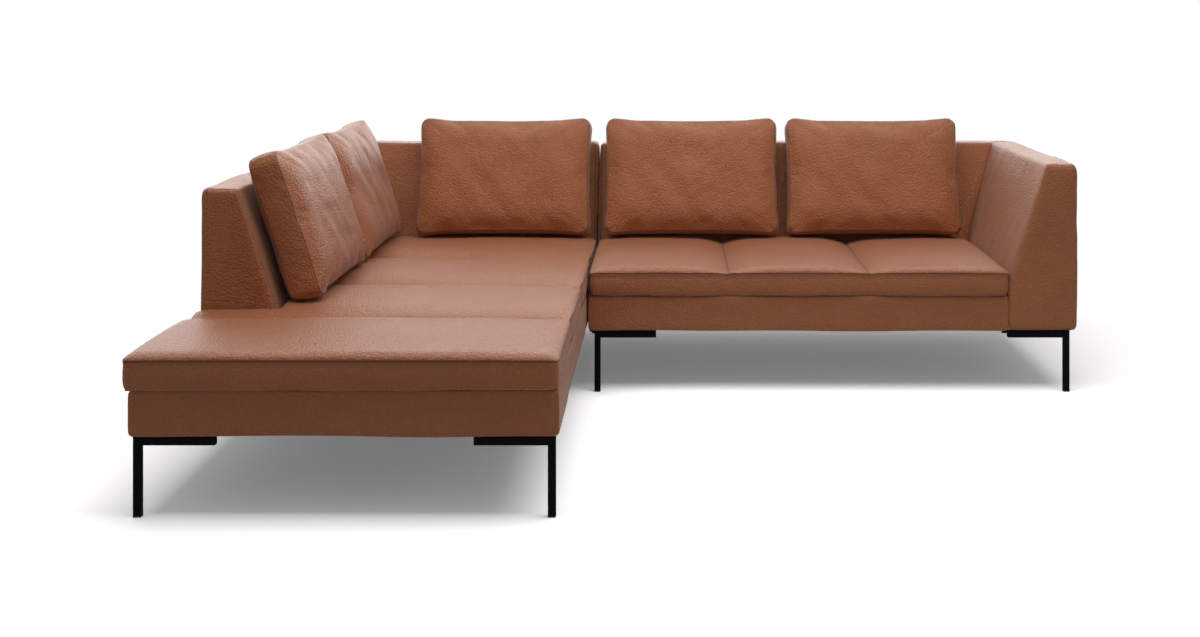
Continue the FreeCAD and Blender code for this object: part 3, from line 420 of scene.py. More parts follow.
def wedgeCover(name, node, body, outer, ends, mitreSign, toFloor, tuck, seed):
    # outer is (depth axis, place, direction into the seat) of the outside face; the run goes from
    # ends[0] to ends[1], and its end on the side of mitreSign is mitred
    depthAxis, face, inward = outer
    runAxis = 1 - depthAxis
    squareAt, mitreAt = ends if mitreSign > 0 else ends[::-1]
    seat, bottom, top = plan["wedgeSeat"], plan["baseBottom"], plan["backTop"]
    low, high = [0, 0, bottom], [0, 0, top]
    low[depthAxis], high[depthAxis] = sorted((face, face + inward * seat))
    low[runAxis], high[runAxis] = ends
    cuts = [max(2, int((high[i] - low[i]) / coverPlan["step"])) for i in range(3)]
    cover = addBlock(name, low, high, cuts)
    points = pointsOf(cover)

    # the block's depth follows the wedge, and its run the 45 degree cut
    depth = (points[:, depthAxis] - face) * inward
    rise = np.clip((points[:, 2] - plan["seam"]) / (top - plan["seam"]), 0, 1)
    deepest = seat + (plan["wedgeTop"] - seat) * rise
    shallow = tuck * (2 * (points[:, 2] - bottom) / (top - bottom) - 1) ** 2
    depth = shallow + (deepest - shallow) * depth / seat
    share = (points[:, runAxis] - squareAt) / (mitreAt - squareAt)
    points[:, depthAxis] = face + inward * depth
    points[:, runAxis] = squareAt + share * (mitreAt - mitreSign * (depth + plan["fit"]) - squareAt)

    radius, tight = coverPlan["round"], coverPlan["tight"]
    intoSeat, upward = alongAxis(depthAxis, inward), alongAxis(2, 1)
    squareEnd = alongAxis(runAxis, -mitreSign)
    slope = intoSeat * math.cos(plan["lean"]) + upward * math.sin(plan["lean"])
    mitre = (intoSeat + alongAxis(runAxis, mitreSign)) * math.sqrt(0.5)
    mitreOffset = float(mitre @ (alongAxis(depthAxis, face) + alongAxis(runAxis, mitreAt)))
    seatEdge = alongAxis(depthAxis, face + inward * seat) + alongAxis(2, plan["seam"])
    outside = alongAxis(depthAxis, face + inward * tuck * coverPlan["outShare"])
    sides = [(-intoSeat, float(-intoSeat @ outside), radius),
             (slope, float(slope @ seatEdge), radius),
             (intoSeat, float(intoSeat @ seatEdge), tight), (upward, top, radius),
             (squareEnd, squareAt * -mitreSign, radius * coverPlan["endShare"]),
             (-upward, -bottom, tight), (mitre, mitreOffset - coverPlan["mitreInset"], tight)]
    inside = nearestInside(points, [(normal, offset - edge) for normal, offset, edge in sides])
    unit = unitOf(points - inside)
    weights = np.array([np.clip(unit @ normal, 0, 1) ** 2 for normal, _, _ in sides])
    radii = np.array([edge for _, _, edge in sides])
    reach = (weights * radii[:, None]).sum(axis=0) / np.maximum(weights.sum(axis=0), noZero)
    points = inside + unit * reach[:, None]

    # slight unevenness, none at the mitre, and nothing past the outside face
    fromMitre = np.clip((mitreOffset - points @ mitre) / coverPlan["mitreFade"], 0, 1)
    fromFloor = (points[:, 2] - bottom) / coverPlan["floorFade"]
    fromFloor = np.clip(fromFloor, coverPlan["floorLeast"], 1)
    wave = soften(points, coverPlan["wave"], seed) * coverPlan["waveRise"] \
        + soften(points, coverPlan["ripple"], seed + 1) * coverPlan["rippleRise"]
    points = points + unit * (wave * fromMitre * fromFloor)[:, None]
    points[:, depthAxis] -= inward * np.minimum(0, (points[:, depthAxis] - face) * inward)
    movePoints(cover, points)
    subdivideOnce(cover)
    hollowCover(cover, outer, ends, mitreSign, toFloor, tuck)

    points = pointsOf(cover)
    endGap = (points[:, runAxis] - squareAt) * mitreSign - coverPlan["endSeam"]
    topGap = (points[:, depthAxis] - face) * inward - coverPlan["topSeam"]
    topGap = np.where(points[:, 2] > top - coverPlan["topBand"], topGap, 1.0)
    keepSeams(cover, endGap, topGap)
    finishPiece(cover, node, body)


def hollowCover(cover, outer, ends, mitreSign, toFloor, tuck):
    # room for the timber frame, open downwards, and the rails' space under the seat
    depthAxis, face, inward = outer
    runAxis = 1 - depthAxis
    wall, past = plan["apron"], coverPlan["past"]
    closed = (ends[0] + wall, ends[1] + past) if mitreSign > 0 else (ends[0] - past, ends[1] - wall)
    through = closed if toFloor else (ends[0] - past, ends[1] + past)
    back = wall + tuck
    roof = plan["backTop"] - coverPlan["roof"]
    slopeWall = coverPlan["slopeWall"]
    roofDepth = plan["wedgeTop"] + coverPlan["roof"] * math.tan(plan["lean"]) - slopeWall
    seatDepth = plan["wedgeSeat"] - slopeWall
    below, farBelow, under = coverPlan["below"], coverPlan["farBelow"], coverPlan["under"]
    rooms = [(closed, [(back, below), (back, roof), (roofDepth, roof), (seatDepth, plan["seam"]),
                       (seatDepth, below)]),
             (through, [(back, farBelow), (back, plan["baseTop"]), (under, plan["baseTop"]),
                        (under, farBelow)])]
    for (first, last), outline in rooms:
        pickNothing()
        bpy.ops.mesh.primitive_circle_add(vertices=len(outline), radius=0.1, fill_type="NGON")
        tool = bpy.context.object
        corners = np.zeros((len(outline), 3))
        corners[:, depthAxis] = [face + inward * depth for depth, _ in outline]
        corners[:, runAxis] = first
        corners[:, 2] = [height for _, height in outline]
        movePoints(tool, corners)
        bpy.ops.object.mode_set(mode="EDIT")
        bpy.ops.mesh.select_all(action="SELECT")
        step = tuple(alongAxis(runAxis, last - first))
        bpy.ops.mesh.extrude_region_move(TRANSFORM_OT_translate={"value": step})
        bpy.ops.mesh.select_all(action="SELECT")
        bpy.ops.mesh.normals_make_consistent(inside=False)
        bpy.ops.object.mode_set(mode="OBJECT")
        applyModifier(cover, "BOOLEAN", {"operation": "DIFFERENCE", "solver": "MANIFOLD",
                                         "object": tool})
        bpy.data.objects.remove(tool)


wedgeCover("chaiseSideBack", "chaise_side_back_cover", "chaise_module",
           (0, plan["chaiseLeft"], 1), (plan["sideBackFront"], plan["rear"]), 1, False,
           plan["backTuck"], 11)
wedgeCover("chaiseRearBack", "chaise_rear_back_cover", "chaise_module",
           (1, plan["rear"], -1), (plan["chaiseLeft"], plan["chaiseRight"]), -1, False,
           plan["backTuck"], 21)
wedgeCover("sofaRearBack", "sofa_rear_back_cover", "sofa_module",
           (1, plan["rear"], -1), (plan["sofaLeft"], plan["sofaRight"]), 1, False,
           plan["backTuck"], 31)
wedgeCover("sofaArm", "sofa_arm_cover", "sofa_module",
           (0, plan["sofaRight"], -1), (plan["sofaFront"], plan["rear"]), 1, True,
           plan["armTuck"], 41)
print("backs and arm covered")

# Aprons: thin padded panels round the base
apronPlan = {"round": 0.0056, "step": 0.018, "wave": 0.30, "waveRise": 0.0011, "ripple": 0.08,
             "rippleRise": 0.0003, "hem": 0.40, "hemRise": 0.0012, "hemBand": 0.02}


def apronPanel(name, node, body, low, high, seed):
    cuts = [max(3, int((high[i] - low[i]) / apronPlan["step"])) for i in range(3)]
    panel = addBlock(name, low, high, cuts)
    radius = apronPlan["round"]
    inner = []
    for axis in range(3):
        inner += [(alongAxis(axis, 1), high[axis] - radius),
                  (alongAxis(axis, -1), -low[axis] - radius)]
    core = nearestInside(pointsOf(panel), inner)
    outward = unitOf(pointsOf(panel) - core)
    points = core + outward * radius
    wave = soften(points, apronPlan["wave"], seed) * apronPlan["waveRise"] \
        + soften(points, apronPlan["ripple"], seed + 1) * apronPlan["rippleRise"]
    thin = int(np.argmin([high[i] - low[i] for i in range(3)]))
    points = points - np.abs(wave)[:, None] * outward * (np.arange(3) == thin)
    atHem = points[:, 2] < plan["baseBottom"] + apronPlan["hemBand"]
    points[:, 2] += soften(points, apronPlan["hem"], seed + 2) * apronPlan["hemRise"] * atHem
    movePoints(panel, points)
    keepSeams(panel)
    subdivideOnce(panel)
    finishPiece(panel, node, body)


thick = plan["apron"]
bottom, top = plan["baseBottom"], plan["baseTop"]
underPad = plan["padBottom"] - plan["fit"]
backEnd = plan["rear"] - plan["backTuck"] - thick
chaiseInside, sofaInside = plan["chaiseFront"] + thick, plan["sofaFront"] + thick
apronPanel("chaiseFrontApron", "chaise_front_apron", "chaise_module",
           (plan["chaiseLeft"], plan["chaiseFront"], bottom),
           (plan["chaiseRight"], chaiseInside, underPad), 51)
apronPanel("chaiseInnerApron", "chaise_inner_apron", "chaise_module",
           (plan["chaiseRight"] - thick, chaiseInside, bottom),
           (plan["chaiseRight"], backEnd, top), 52)
apronPanel("chaiseOuterApron", "chaise_outer_apron", "chaise_module",
           (plan["chaiseLeft"], chaiseInside, bottom),
           (plan["chaiseLeft"] + plan["outerApron"], plan["sideBackFront"] - plan["fit"],
            underPad), 53)
apronPanel("sofaFrontApron", "sofa_front_apron", "sofa_module",
           (plan["sofaLeft"], plan["sofaFront"], bottom),
           (plan["armInner"], sofaInside, underPad), 54)
apronPanel("sofaLeftApron", "sofa_left_apron", "sofa_module",
           (plan["sofaLeft"], sofaInside, bottom),
           (plan["sofaLeft"] + thick, backEnd, top), 55)
print("aprons hung")


# Dust covers: cloth stapled tight under the base rails, with the places of their right edges
dustPlan = {"level": 0.2062, "thickness": 0.0008, "cell": 0.03, "wave": 0.30, "waveRise": 0.0003,
            "chaiseEdge": -0.287, "sofaEdge": 1.348}


def dustSheet(name, node, body, xEnds, yEnds, seed):
    width, length = xEnds[1] - xEnds[0], yEnds[1] - yEnds[0]
    pickNothing()
    bpy.ops.mesh.primitive_grid_add(x_subdivisions=int(width / dustPlan["cell"]),
                                    y_subdivisions=int(length / dustPlan["cell"]), size=1)
    sheet = bpy.context.object
    nameIt(sheet, name)
    points = pointsOf(sheet)
    points[:, 0] = (xEnds[0] + xEnds[1]) / 2 + points[:, 0] * width
    points[:, 1] = (yEnds[0] + yEnds[1]) / 2 + points[:, 1] * length
    wave = np.abs(soften(points, dustPlan["wave"], seed))
    points[:, 2] = dustPlan["level"] + wave * dustPlan["waveRise"]
    movePoints(sheet, points)
    applyModifier(sheet, "SOLIDIFY", {"thickness": dustPlan["thickness"], "offset": 1.0})
    finishPiece(sheet, node, body, finishes["dust_cloth"])


dustSheet("chaiseDustCover", "chaise_dust_cover", "chaise_module",
          (plan["chaiseLeft"] + plan["outerApron"], dustPlan["chaiseEdge"]),
          (chaiseInside, backEnd), 57)
dustSheet("sofaDustCover", "sofa_dust_cover", "sofa_module",
          (plan["sofaLeft"] + thick, dustPlan["sofaEdge"]),
          (sofaInside, backEnd), 58)
print("dust covers stretched")


# Seat pads: crowned between sewn channels, with a side band under the edge seam. Of the lengths,
# those that end in Reach, Row or Fade say how far an effect goes
padPlan = {
    "step": 0.0105, "edgeRow": 0.006, "bandRows": 9, "corner": 0.022,
    "roll": 0.042, "rollShare": 0.74, "reach": 0.105, "share": 0.62, "groove": 0.001,
    "wave": 0.42, "waveRise": 0.0018, "waveTop": 0.6, "waveSink": 0.8, "waveFade": 0.06,
    "pucker": 0.030, "puckerRise": 0.0011, "puckerRow": 0.006, "seamReach": 0.020,
    "seamShare": 0.6, "channelReach": 0.018, "pinch": 0.0035, "pinchReach": 0.009,
    "bulge": 0.005, "bulgeSpan": 1.02, "bulgeForm": 0.8, "foot": 0.82, "tuck": 0.004,
    "seamTuck": 0.0006, "ripple": 0.05, "rippleRise": 0.0005, "hemRise": 0.0032, "hemFrom": 0.3,
    "draw": 0.008, "drawReach": 0.055, "drawFade": 0.11,
    "dimple": 0.0040, "dimpleReach": 0.022, "dimpleSpan": 1.1,
    "crease": 0.0016, "creaseReach": 0.0065, "creaseStart": 0.004, "creaseSpread": 0.030,
}
chaisePad = {"x": (-1.369, -0.273), "y": (-1.109, 0.8737), "xChannels": [],
             "yChannels": [-0.591, -0.091, 0.409],
             "notch": (plan["chaiseLeft"] + plan["wedgeSeat"] + plan["fit"],
                       plan["sideBackFront"] - plan["fit"])}
sofaPad = {"x": (-0.266, 1.1337), "y": (0.138, 0.8737), "xChannels": [0.20057, 0.66713],
           "yChannels": [], "notch": None}
atEdge = 1e-4


def bell(distance, reach):
    return np.exp(-(distance / reach) ** 2)


def rowsBetween(keys):
    rows = [keys[0]]
    for start, end in zip(keys, keys[1:]):
        count = max(2, round((end - start) / padPlan["step"]))
        rows += list(start + (end - start) * np.arange(1, count + 1) / count)
    return np.array(rows)


def padRows(ends, channels, notchAt):
    # narrow rows beside the outer seams hold their roll
    narrow = padPlan["edgeRow"]
    keys = [ends[0], ends[0] + narrow, ends[1] - narrow, ends[1]] + channels + notchAt
    return rowsBetween(sorted(keys))


def nearestGap(values, places):
    # distance from the nearest of the places, and 1 m where there are none
    return np.min([np.ones(len(values))] + [np.abs(values - place) for place in places], axis=0)


def rollOver(distance, half):
    # rise from an outer seam: a rolled edge, then slow to the middle
    near = np.clip(distance / padPlan["roll"], 0, 1)
    far = np.clip(distance / half, 0, 1)
    rolled = np.sqrt(np.maximum(0, 1 - (1 - near) ** 2))
    return padPlan["rollShare"] * rolled + (1 - padPlan["rollShare"]) * (1 - (1 - far) ** 2)


def riseFrom(distance, half, outer, floor):
    # rise from an outer seam, or from the floor of a channel
    if outer:
        return rollOver(distance, half)
    return floor + (1 - floor) * shoulder(distance, padPlan["reach"], half, padPlan["share"])


def spanRise(values, ends, channels, crown):
    # height over the seam across sections that lie between the ends and the channels
    marks = [ends[0]] + channels + [ends[1]]
    floor = padPlan["groove"] / crown
    rise = np.zeros(len(values))
    for low, high in zip(marks, marks[1:]):
        half = (high - low) / 2
        lifted = np.minimum(riseFrom(values - low, half, low == ends[0], floor),
                            riseFrom(high - values, half, high == ends[1], floor))
        rise = np.where((values >= low) & (values <= high), lifted, rise)
    return rise


def bandedGrid(name, xRows, yRows, notch):
    # a flat grid on the rows, less the notch, with a side band in rows down from its edge
    pickNothing()
    bpy.ops.mesh.primitive_grid_add(x_subdivisions=len(xRows) - 1, y_subdivisions=len(yRows) - 1,
                                    size=1)
    pad = bpy.context.object
    nameIt(pad, name)
    points = pointsOf(pad)
    for axis, rows in enumerate((xRows, yRows)):
        points[:, axis] = rows[np.rint((points[:, axis] + 0.5) * (len(rows) - 1)).astype(int)]
    points[:, 2] = plan["seam"]
    movePoints(pad, points)
    if notch:
        selectFaces(pad, lambda middle: middle.x < notch[0] and middle.y > notch[1])
        bpy.ops.mesh.delete(type="FACE")
    bpy.ops.object.mode_set(mode="EDIT")
    bpy.ops.mesh.select_mode(type="EDGE")
    bpy.ops.mesh.select_all(action="SELECT")
    bpy.ops.mesh.region_to_loop()
    drop = (plan["seam"] - plan["padBottom"]) / padPlan["bandRows"]
    for _ in range(padPlan["bandRows"]):
        bpy.ops.mesh.extrude_edges_move(TRANSFORM_OT_translate={"value": (0, 0, -drop)})
    bpy.ops.object.mode_set(mode="OBJECT")
    return pad


def topHeight(x, y, edge, channelGap, lifted, crown, seed):
    # crown, shallow waves, puckers beside the seams and a pinch along each channel
    flat = np.column_stack([x, y, 0 * x])
    wave = np.minimum(soften(flat, padPlan["wave"], seed), padPlan["waveTop"]) - padPlan["waveSink"]
    pucker = soften(flat, padPlan["pucker"], seed + 1) * padPlan["puckerRise"]
    inwardFade = np.clip(edge / padPlan["waveFade"], 0, 1)
    besideSeam = bell(edge, padPlan["seamReach"]) * np.clip(edge / padPlan["puckerRow"], 0, 1)
    besideChannel = bell(channelGap, padPlan["channelReach"]) \
        * np.clip(channelGap / padPlan["puckerRow"], 0, 1)
    height = plan["seam"] + crown * lifted + wave * padPlan["waveRise"] * inwardFade
    height += pucker * (besideSeam * padPlan["seamShare"] + besideChannel)
    return height - padPlan["pinch"] * bell(channelGap, padPlan["pinchReach"]) * inwardFade


def bandOffset(x, y, z, share, channelGap, seed):
    # side band, share from its seam down: a bulge, tucked in at its foot, dimpled at the channels
    arch = np.sin(math.pi * np.clip(share * padPlan["bulgeSpan"], 0, 1))
    foot = np.clip((share - padPlan["foot"]) / (1 - padPlan["foot"]), 0, 1)
    out = padPlan["bulge"] * (arch ** padPlan["bulgeForm"] - 1)
    out -= padPlan["tuck"] * foot ** 2 + padPlan["seamTuck"] * (share < 1e-3)
    ripple = soften(np.column_stack([x, y, z * 0.4]), padPlan["ripple"], seed) - 1
    out += ripple * padPlan["rippleRise"] * np.sin(math.pi * share)
    dimple = bell(channelGap, padPlan["dimpleReach"]) \
        * np.clip(1 - share * padPlan["dimpleSpan"], 0, 1)
    fold = padPlan["creaseStart"] + padPlan["creaseSpread"] * share
    crease = bell(channelGap - fold, padPlan["creaseReach"]) * np.clip(1 - share, 0, 1)
    return out - padPlan["dimple"] * dimple - padPlan["crease"] * crease


def channelPull(gapLow, gapHigh, run, channels):
    # each side is drawn in beside the channels that end at it
    fade = np.clip(1 - np.minimum(gapLow, gapHigh) / padPlan["drawFade"], 0, 1) ** 2
    pull = padPlan["draw"] * fade * bell(nearestGap(run, channels), padPlan["drawReach"])
    return np.where(gapLow < gapHigh, pull, -pull)


def seatPad(name, node, body, place, seed):
    xEnds, yEnds, notch = place["x"], place["y"], place["notch"]
    xChannels, yChannels = place["xChannels"], place["yChannels"]
    pad = bandedGrid(name, padRows(xEnds, xChannels, [notch[0]] if notch else []),
                     padRows(yEnds, yChannels, [notch[1]] if notch else []), notch)
    x, y, z = pointsOf(pad).T.copy()
    under = plan["seam"] - z
    onTop = under < tiny
    crown = plan["seatTop"] - plan["seam"]
    share = np.clip(under / (plan["seam"] - plan["padBottom"]), 0, 1)
    left, right, front, rear = x - xEnds[0], xEnds[1] - x, y - yEnds[0], yEnds[1] - y
    edge = np.min([left, right, front, rear], axis=0)
    outX = (right < atEdge) * 1.0 - (left < atEdge)
    outY = (rear < atEdge) * 1.0 - (front < atEdge)
    if notch:
        edge = np.minimum(edge, np.maximum(np.maximum(x - notch[0], notch[1] - y), 0))
        outX -= (np.abs(x - notch[0]) < atEdge) & (y > notch[1] - atEdge)
        outY += (np.abs(y - notch[1]) < atEdge) & (x < notch[0] + atEdge)
    channelGap = np.minimum(nearestGap(x, xChannels), nearestGap(y, yChannels))
    lifted = spanRise(x, xEnds, xChannels, crown) * spanRise(y, yEnds, yChannels, crown)
    height = topHeight(x, y, edge, channelGap, lifted, crown, seed)
    out = np.where(onTop, 0.0, bandOffset(x, y, z, share, channelGap, seed + 2))
    hem = np.abs(soften(np.column_stack([x, y, 0 * z]), padPlan["wave"], seed + 3)) \
        * padPlan["hemRise"] * np.clip(share * (1 + padPlan["hemFrom"]) - padPlan["hemFrom"], 0, 1)
    pullX = channelPull(left, right, y, yChannels)
    pullY = channelPull(front, rear, x, xChannels)
    # front corners seen from above: a square corner block becomes a quarter disc
    radius = padPlan["corner"]
    middleY = yEnds[0] + radius
    for sideX, end in zip((-1, 1), xEnds):
        middleX = end - sideX * radius
        a = np.clip((x - middleX) * sideX / radius, 0, 1)
        b = np.clip((middleY - y) / radius, 0, 1)
        inside = (a > 0) & (b > 0)
        x = np.where(inside, middleX + sideX * radius * a * np.sqrt(1 - b * b / 2), x)
        y = np.where(inside, middleY - radius * b * np.sqrt(1 - a * a / 2), y)
    movePoints(pad, np.column_stack([x + outX * out + pullX, y + outY * out + pullY,
                                     np.where(onTop, height, z + hem)]))
    keepSeams(pad, np.where(onTop, edge, under), None, np.where(onTop, channelGap, 1.0))
    subdivideOnce(pad)
    # the underside is one face round the hem, filled last
    pick(pad)
    openMesh(pad, "EDGE")
    bpy.ops.mesh.select_non_manifold(extend=False, use_wire=False, use_boundary=True,
                                     use_multi_face=False, use_non_contiguous=False,
                                     use_verts=False)
    bpy.ops.mesh.edge_face_add()
    bpy.ops.mesh.select_all(action="SELECT")
    bpy.ops.mesh.normals_make_consistent(inside=False)
    bpy.ops.object.mode_set(mode="OBJECT")
    finishPiece(pad, node, body)


seatPad("chaiseSeatPad", "chaise_seat_pad", "chaise_module", chaisePad, 61)
seatPad("sofaSeatPad", "sofa_seat_pad", "sofa_module", sofaPad, 71)
print("seat pads stuffed")


# Back cushions: two crowned panels and a border strip, inflated as cloth, then leant on their
# backs. Places are the middles of their lower edges
cushionPlan = {
    "width": 0.655, "height": 0.450, "gusset": 0.092, "front": 0.038, "back": 0.026,
    "reach": 0.105, "share": 0.78, "start": 0.80, "draw": 0.004, "corner": 0.036, "puff": 0.005,
    "cells": (80, 11, 55), "wave": 0.11, "waveRise": 0.0012, "waveAxes": (0.3, 1.0, 0.3),
    "spareWidth": 0.002, "spareHeight": 0.004, "uneven": 0.16, "unevenRise": 0.0016,
    "ripple": 0.05, "rippleRise": 0.0004, "seatLevel": 0.4274, "rest": 0.010, "depth": 0.30118,
}
# Of the movement that the cloth makes, the blend is kept, and of a long one at most the cap
clothPlan = {"frames": 20, "blend": 0.38, "cap": 0.026}
clothSettings = {"use_pressure": True, "uniform_pressure_force": 4.0, "quality": 6, "mass": 0.3,
                 "tension_stiffness": 30, "compression_stiffness": 30, "shear_stiffness": 10,
                 "bending_stiffness": 0.6, "shrink_min": -0.012}


def inflate(obj):
    before = pointsOf(obj)
    pick(obj)
    modifier = obj.modifiers.new("cloth", "CLOTH")
    for name, value in clothSettings.items():
        setattr(modifier.settings, name, value)
    modifier.settings.effector_weights.gravity = 0
    modifier.collision_settings.use_collision = False
    modifier.point_cache.frame_start = 1
    modifier.point_cache.frame_end = clothPlan["frames"]
    for step in range(1, clothPlan["frames"] + 1):
        bpy.context.scene.frame_set(step)
    bpy.ops.object.modifier_apply(modifier=modifier.name)
    bpy.context.scene.frame_set(1)
    move = pointsOf(obj) - before
    length = np.maximum(np.linalg.norm(move, axis=1), noZero)
    kept = clothPlan["blend"] * np.minimum(1, clothPlan["cap"] / length)
    movePoints(obj, before + move * kept[:, None])


def stuffCushion(seed):
    width, height = cushionPlan["width"], cushionPlan["height"]
    halfX, halfY, halfZ = width / 2, cushionPlan["gusset"] / 2, height / 2
    reach, full, nearly = cushionPlan["reach"], cushionPlan["share"], 1 - atEdge
    cushion = addBlock("cushion", (-halfX, -halfY, -halfZ), (halfX, halfY, halfZ),
                       cushionPlan["cells"])
    # shares of the half sizes: u across, v up, w towards the front
    x, y, z = pointsOf(cushion).T.copy()
    u, w, v = x / halfX, -y / halfY, z / halfZ
    fromSide, fromEnd = (1 - np.abs(u)) * width / 2, (1 - np.abs(v)) * height / 2
    crown = shoulder(fromSide, reach, halfX, full) * shoulder(fromEnd, reach, halfZ, full)
    panelGap = np.minimum(fromSide, fromEnd)
    seamFront = np.where(w > nearly, panelGap, (1 - w) * halfY)
    seamBack = np.where(w < -nearly, panelGap, (1 + w) * halfY)
    bulge = np.where(w > 0, cushionPlan["front"], cushionPlan["back"]) * cushionPlan["start"]
    depth = w * halfY + np.sign(w) * bulge * crown * (np.abs(w) > nearly)
    # rings of the square outline become rings of one with rounded corners
    radius = cushionPlan["corner"]
    ring = np.maximum(np.abs(u), np.abs(v))
    safe = np.maximum(ring, tiny)
    edgeX, edgeZ = u / safe * width / 2, v / safe * height / 2
    holdX = np.clip(edgeX, -(halfX - radius), halfX - radius)
    holdZ = np.clip(edgeZ, -(halfZ - radius), halfZ - radius)
    offX, offZ = edgeX - holdX, edgeZ - holdZ
    length = np.maximum(np.hypot(offX, offZ), noZero)
    roundX, roundZ = holdX + offX / length * radius, holdZ + offZ / length * radius
    draw = cushionPlan["draw"] * ring ** 2
    pullX = np.sign(u) * draw * (1 - np.clip(np.abs(v), 0, 1) ** 2) * np.abs(u) ** 2
    pullZ = np.sign(v) * draw * (1 - np.clip(np.abs(u), 0, 1) ** 2) * np.abs(v) ** 2
    puff = cushionPlan["puff"] * (1 - w ** 2)
    newX = roundX * ring - pullX + np.sign(u) * puff * (np.abs(u) > nearly)
    newZ = roundZ * ring - pullZ + np.sign(v) * puff * (np.abs(v) > nearly)
    shape = np.column_stack([newX, -depth, newZ])
    wave = soften(shape, cushionPlan["wave"], seed) * cushionPlan["waveRise"]
    shape += wave[:, None] * np.array(cushionPlan["waveAxes"])
    movePoints(cushion, shape)
    keepSeams(cushion, seamFront, seamBack)
    inflate(cushion)
    subdivideOnce(cushion)
    # back to the cut sizes: width, height and the two crowns
    shape = pointsOf(cushion)
    middleZ = (shape[:, 2].max() + shape[:, 2].min()) / 2
    spare = cushionPlan["spareHeight"]
    shape[:, 0] *= (halfX + cushionPlan["spareWidth"]) / np.abs(shape[:, 0]).max()
    shape[:, 2] = (shape[:, 2] - middleZ) * (height + spare) / np.ptp(shape[:, 2])
    front = shape[:, 1] < 0
    shape[front, 1] *= (halfY + cushionPlan["front"]) / -shape[front, 1].min()
    shape[~front, 1] *= (halfY + cushionPlan["back"]) / shape[~front, 1].max()
    shape[:, 2] += halfZ - spare
    movePoints(cushion, shape)
    return cushion


def placeCushion(cushion, name, node, body, place, heading, seed):
    nameIt(cushion, name)
    shape = pointsOf(cushion)
    uneven = soften(shape, cushionPlan["uneven"], seed) * cushionPlan["unevenRise"] \
        + soften(shape, cushionPlan["ripple"], seed + 50) * cushionPlan["rippleRise"]
    inner = np.clip(1 - np.abs(shape[:, 0]) / (cushionPlan["width"] / 2), 0, 1) ** 0.5
    shape[:, 1] += uneven * inner
    turn = Matrix.Rotation(heading, 3, "Z") @ Matrix.Rotation(-plan["lean"], 3, "X")
    world = shape @ np.array(turn).T + np.array([*place, plan["seatTop"] + plan["fit"]])
    # the lower edge settles on the seat instead of going through it
    flat, rest = cushionPlan["seatLevel"], cushionPlan["rest"]
    under = flat + rest - world[:, 2]
    settled = flat + rest * np.exp(-np.maximum(0, under) / rest)
    world[:, 2] = np.where(under > 0, settled, world[:, 2])
    movePoints(cushion, world)
    finishPiece(cushion, node, body)


sideX = plan["chaiseLeft"] + cushionPlan["depth"]
rearY = plan["rear"] - cushionPlan["depth"]
facingRight, facingFront = math.pi / 2, 0.0
cushionPlaces = [
    ("sideCushionNear", "side_cushion_near_cover", "side_cushion_near", (sideX, -0.1515),
     facingRight, 81),
    ("sideCushionFar", "side_cushion_far_cover", "side_cushion_far", (sideX, 0.5085),
     facingRight, 82),
    ("rearCushion", "rear_cushion_cover", "rear_cushion", (-0.62543, rearY), facingFront, 83),
    ("sofaCushionLeft", "sofa_cushion_left_cover", "sofa_cushion_left", (0.0855, rearY),
     facingFront, 84),
    ("sofaCushionRight", "sofa_cushion_right_cover", "sofa_cushion_right", (0.7745, rearY),
     facingFront, 85),
]
stuffed = [stuffCushion(80)]
for _ in cushionPlaces[1:]:
    pick(stuffed[0])
    bpy.ops.object.duplicate(linked=False)
    stuffed.append(bpy.context.object)
for cushion, place in zip(stuffed, cushionPlaces):
    placeCushion(cushion, *place)
print("cushions filled")

# Lights, world and floor: the floor fades to plain white between the two radii, in metres
keyLight = {"place": (0.1, -0.55, 3.3), "size": (4.6, 2.6), "tilt": 14, "power": 88.0}
sheenLight = {"place": (0.0, 3.8, 2.9), "size": (10.0, 5.0), "tilt": -72, "power": 375.0}
worldPlan = {"ambient": 0.20, "mirror": 0.70}
floorPlan = {"size": 900, "seen": 0.95, "glow": 0.15, "bounce": 0.68, "fade": (1.9, 3.2)}


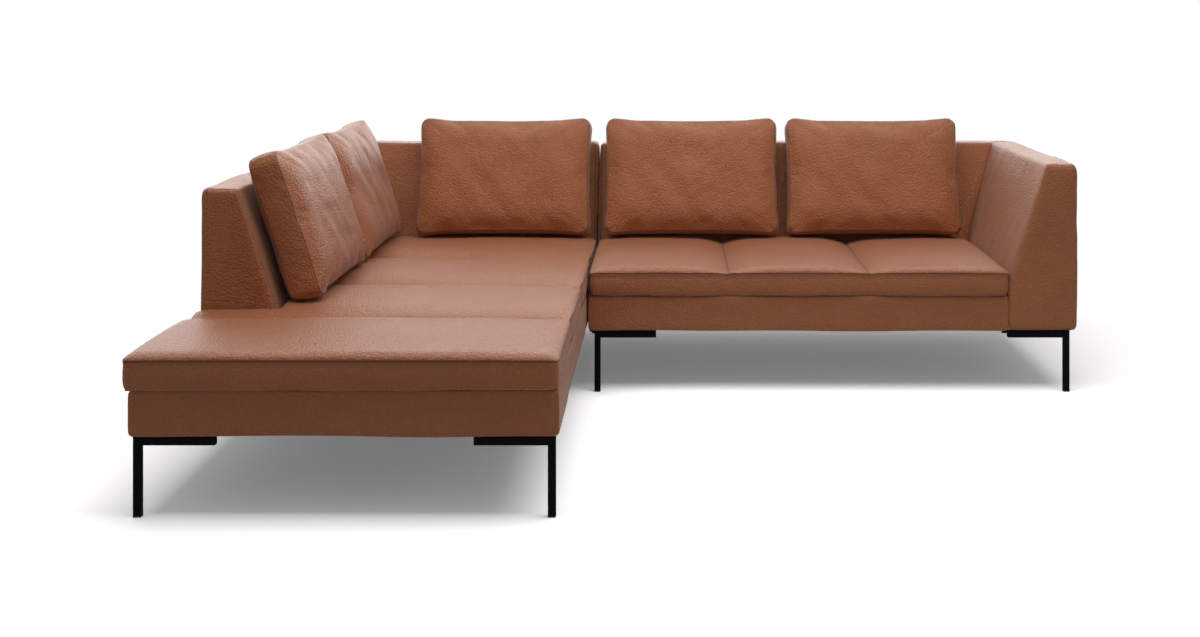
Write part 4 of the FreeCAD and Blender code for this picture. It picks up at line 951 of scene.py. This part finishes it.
def addSoftbox(name, place, size, tilt, power):
    boxData = bpy.data.lights.new(name, "AREA")
    boxData.shape = "RECTANGLE"
    boxData.size, boxData.size_y = size
    boxData.energy = power
    box = bpy.data.objects.new(name, boxData)
    box.location = place
    box.rotation_euler = (math.radians(tilt), 0, 0)
    box.visible_camera = False
    bpy.context.scene.collection.objects.link(box)
    return box


def grey(value):
    return (value, value, value, 1)


addSoftbox("overheadSoftbox", **keyLight)
# a tall panel behind the sofa gives the top faces their pale sheen
sheenPanel = addSoftbox("sheenPanel", **sheenLight)
sheenPanel.visible_diffuse = False

world = bpy.data.worlds.new("studio")
bpy.context.scene.world = world
world.use_nodes = True
world.node_tree.nodes.clear()
sky = Wire(world.node_tree, None)
seen = sky.add("ShaderNodeLightPath")
mirrored = seen.sibling("Is Glossy Ray")
passed = seen.sibling("Is Transmission Ray")
ambient = worldPlan["ambient"]
strength = ambient + (seen + passed) * (1 - ambient) + mirrored * (worldPlan["mirror"] - ambient)
glow = sky.add("ShaderNodeBackground", None, {"Color": grey(1), "Strength": strength})
sky.add("ShaderNodeOutputWorld", None, {"Surface": glow})

pickNothing()
bpy.ops.mesh.primitive_plane_add(size=floorPlan["size"], location=(0, 0, 0))
floor = bpy.context.object
floor.name = "floor"
floorMaterial, start = newMaterial("paleFloor")
seen = start.add("ShaderNodeLightPath")
coat = start.add("ShaderNodeBsdfDiffuse", None, {"Color": grey(floorPlan["seen"])})
doubled = start.add("ShaderNodeAddShader", None, {0: coat, 1: coat})
glowing = start.add("ShaderNodeEmission", None, {"Strength": floorPlan["glow"]})
near = start.add("ShaderNodeAddShader", None, {0: doubled, 1: glowing})
white = start.add("ShaderNodeEmission", None, {"Strength": 1.0})
place = start.add("ShaderNodeTexCoord", None, None, 3)
radius = start.add("ShaderNodeVectorMath", {"operation": "LENGTH"}, {0: place}, 1)
faded = start.add("ShaderNodeMixShader", None,
                  {0: radius.ramp(*floorPlan["fade"]), 1: near, 2: white})
bounce = start.add("ShaderNodeBsdfDiffuse", None, {"Color": grey(floorPlan["bounce"])})
surface = start.add("ShaderNodeMixShader", None, {0: seen, 1: bounce, 2: faded})
start.add("ShaderNodeOutputMaterial", None, {"Surface": surface})
floor.data.materials.append(floorMaterial)
print("studio set")
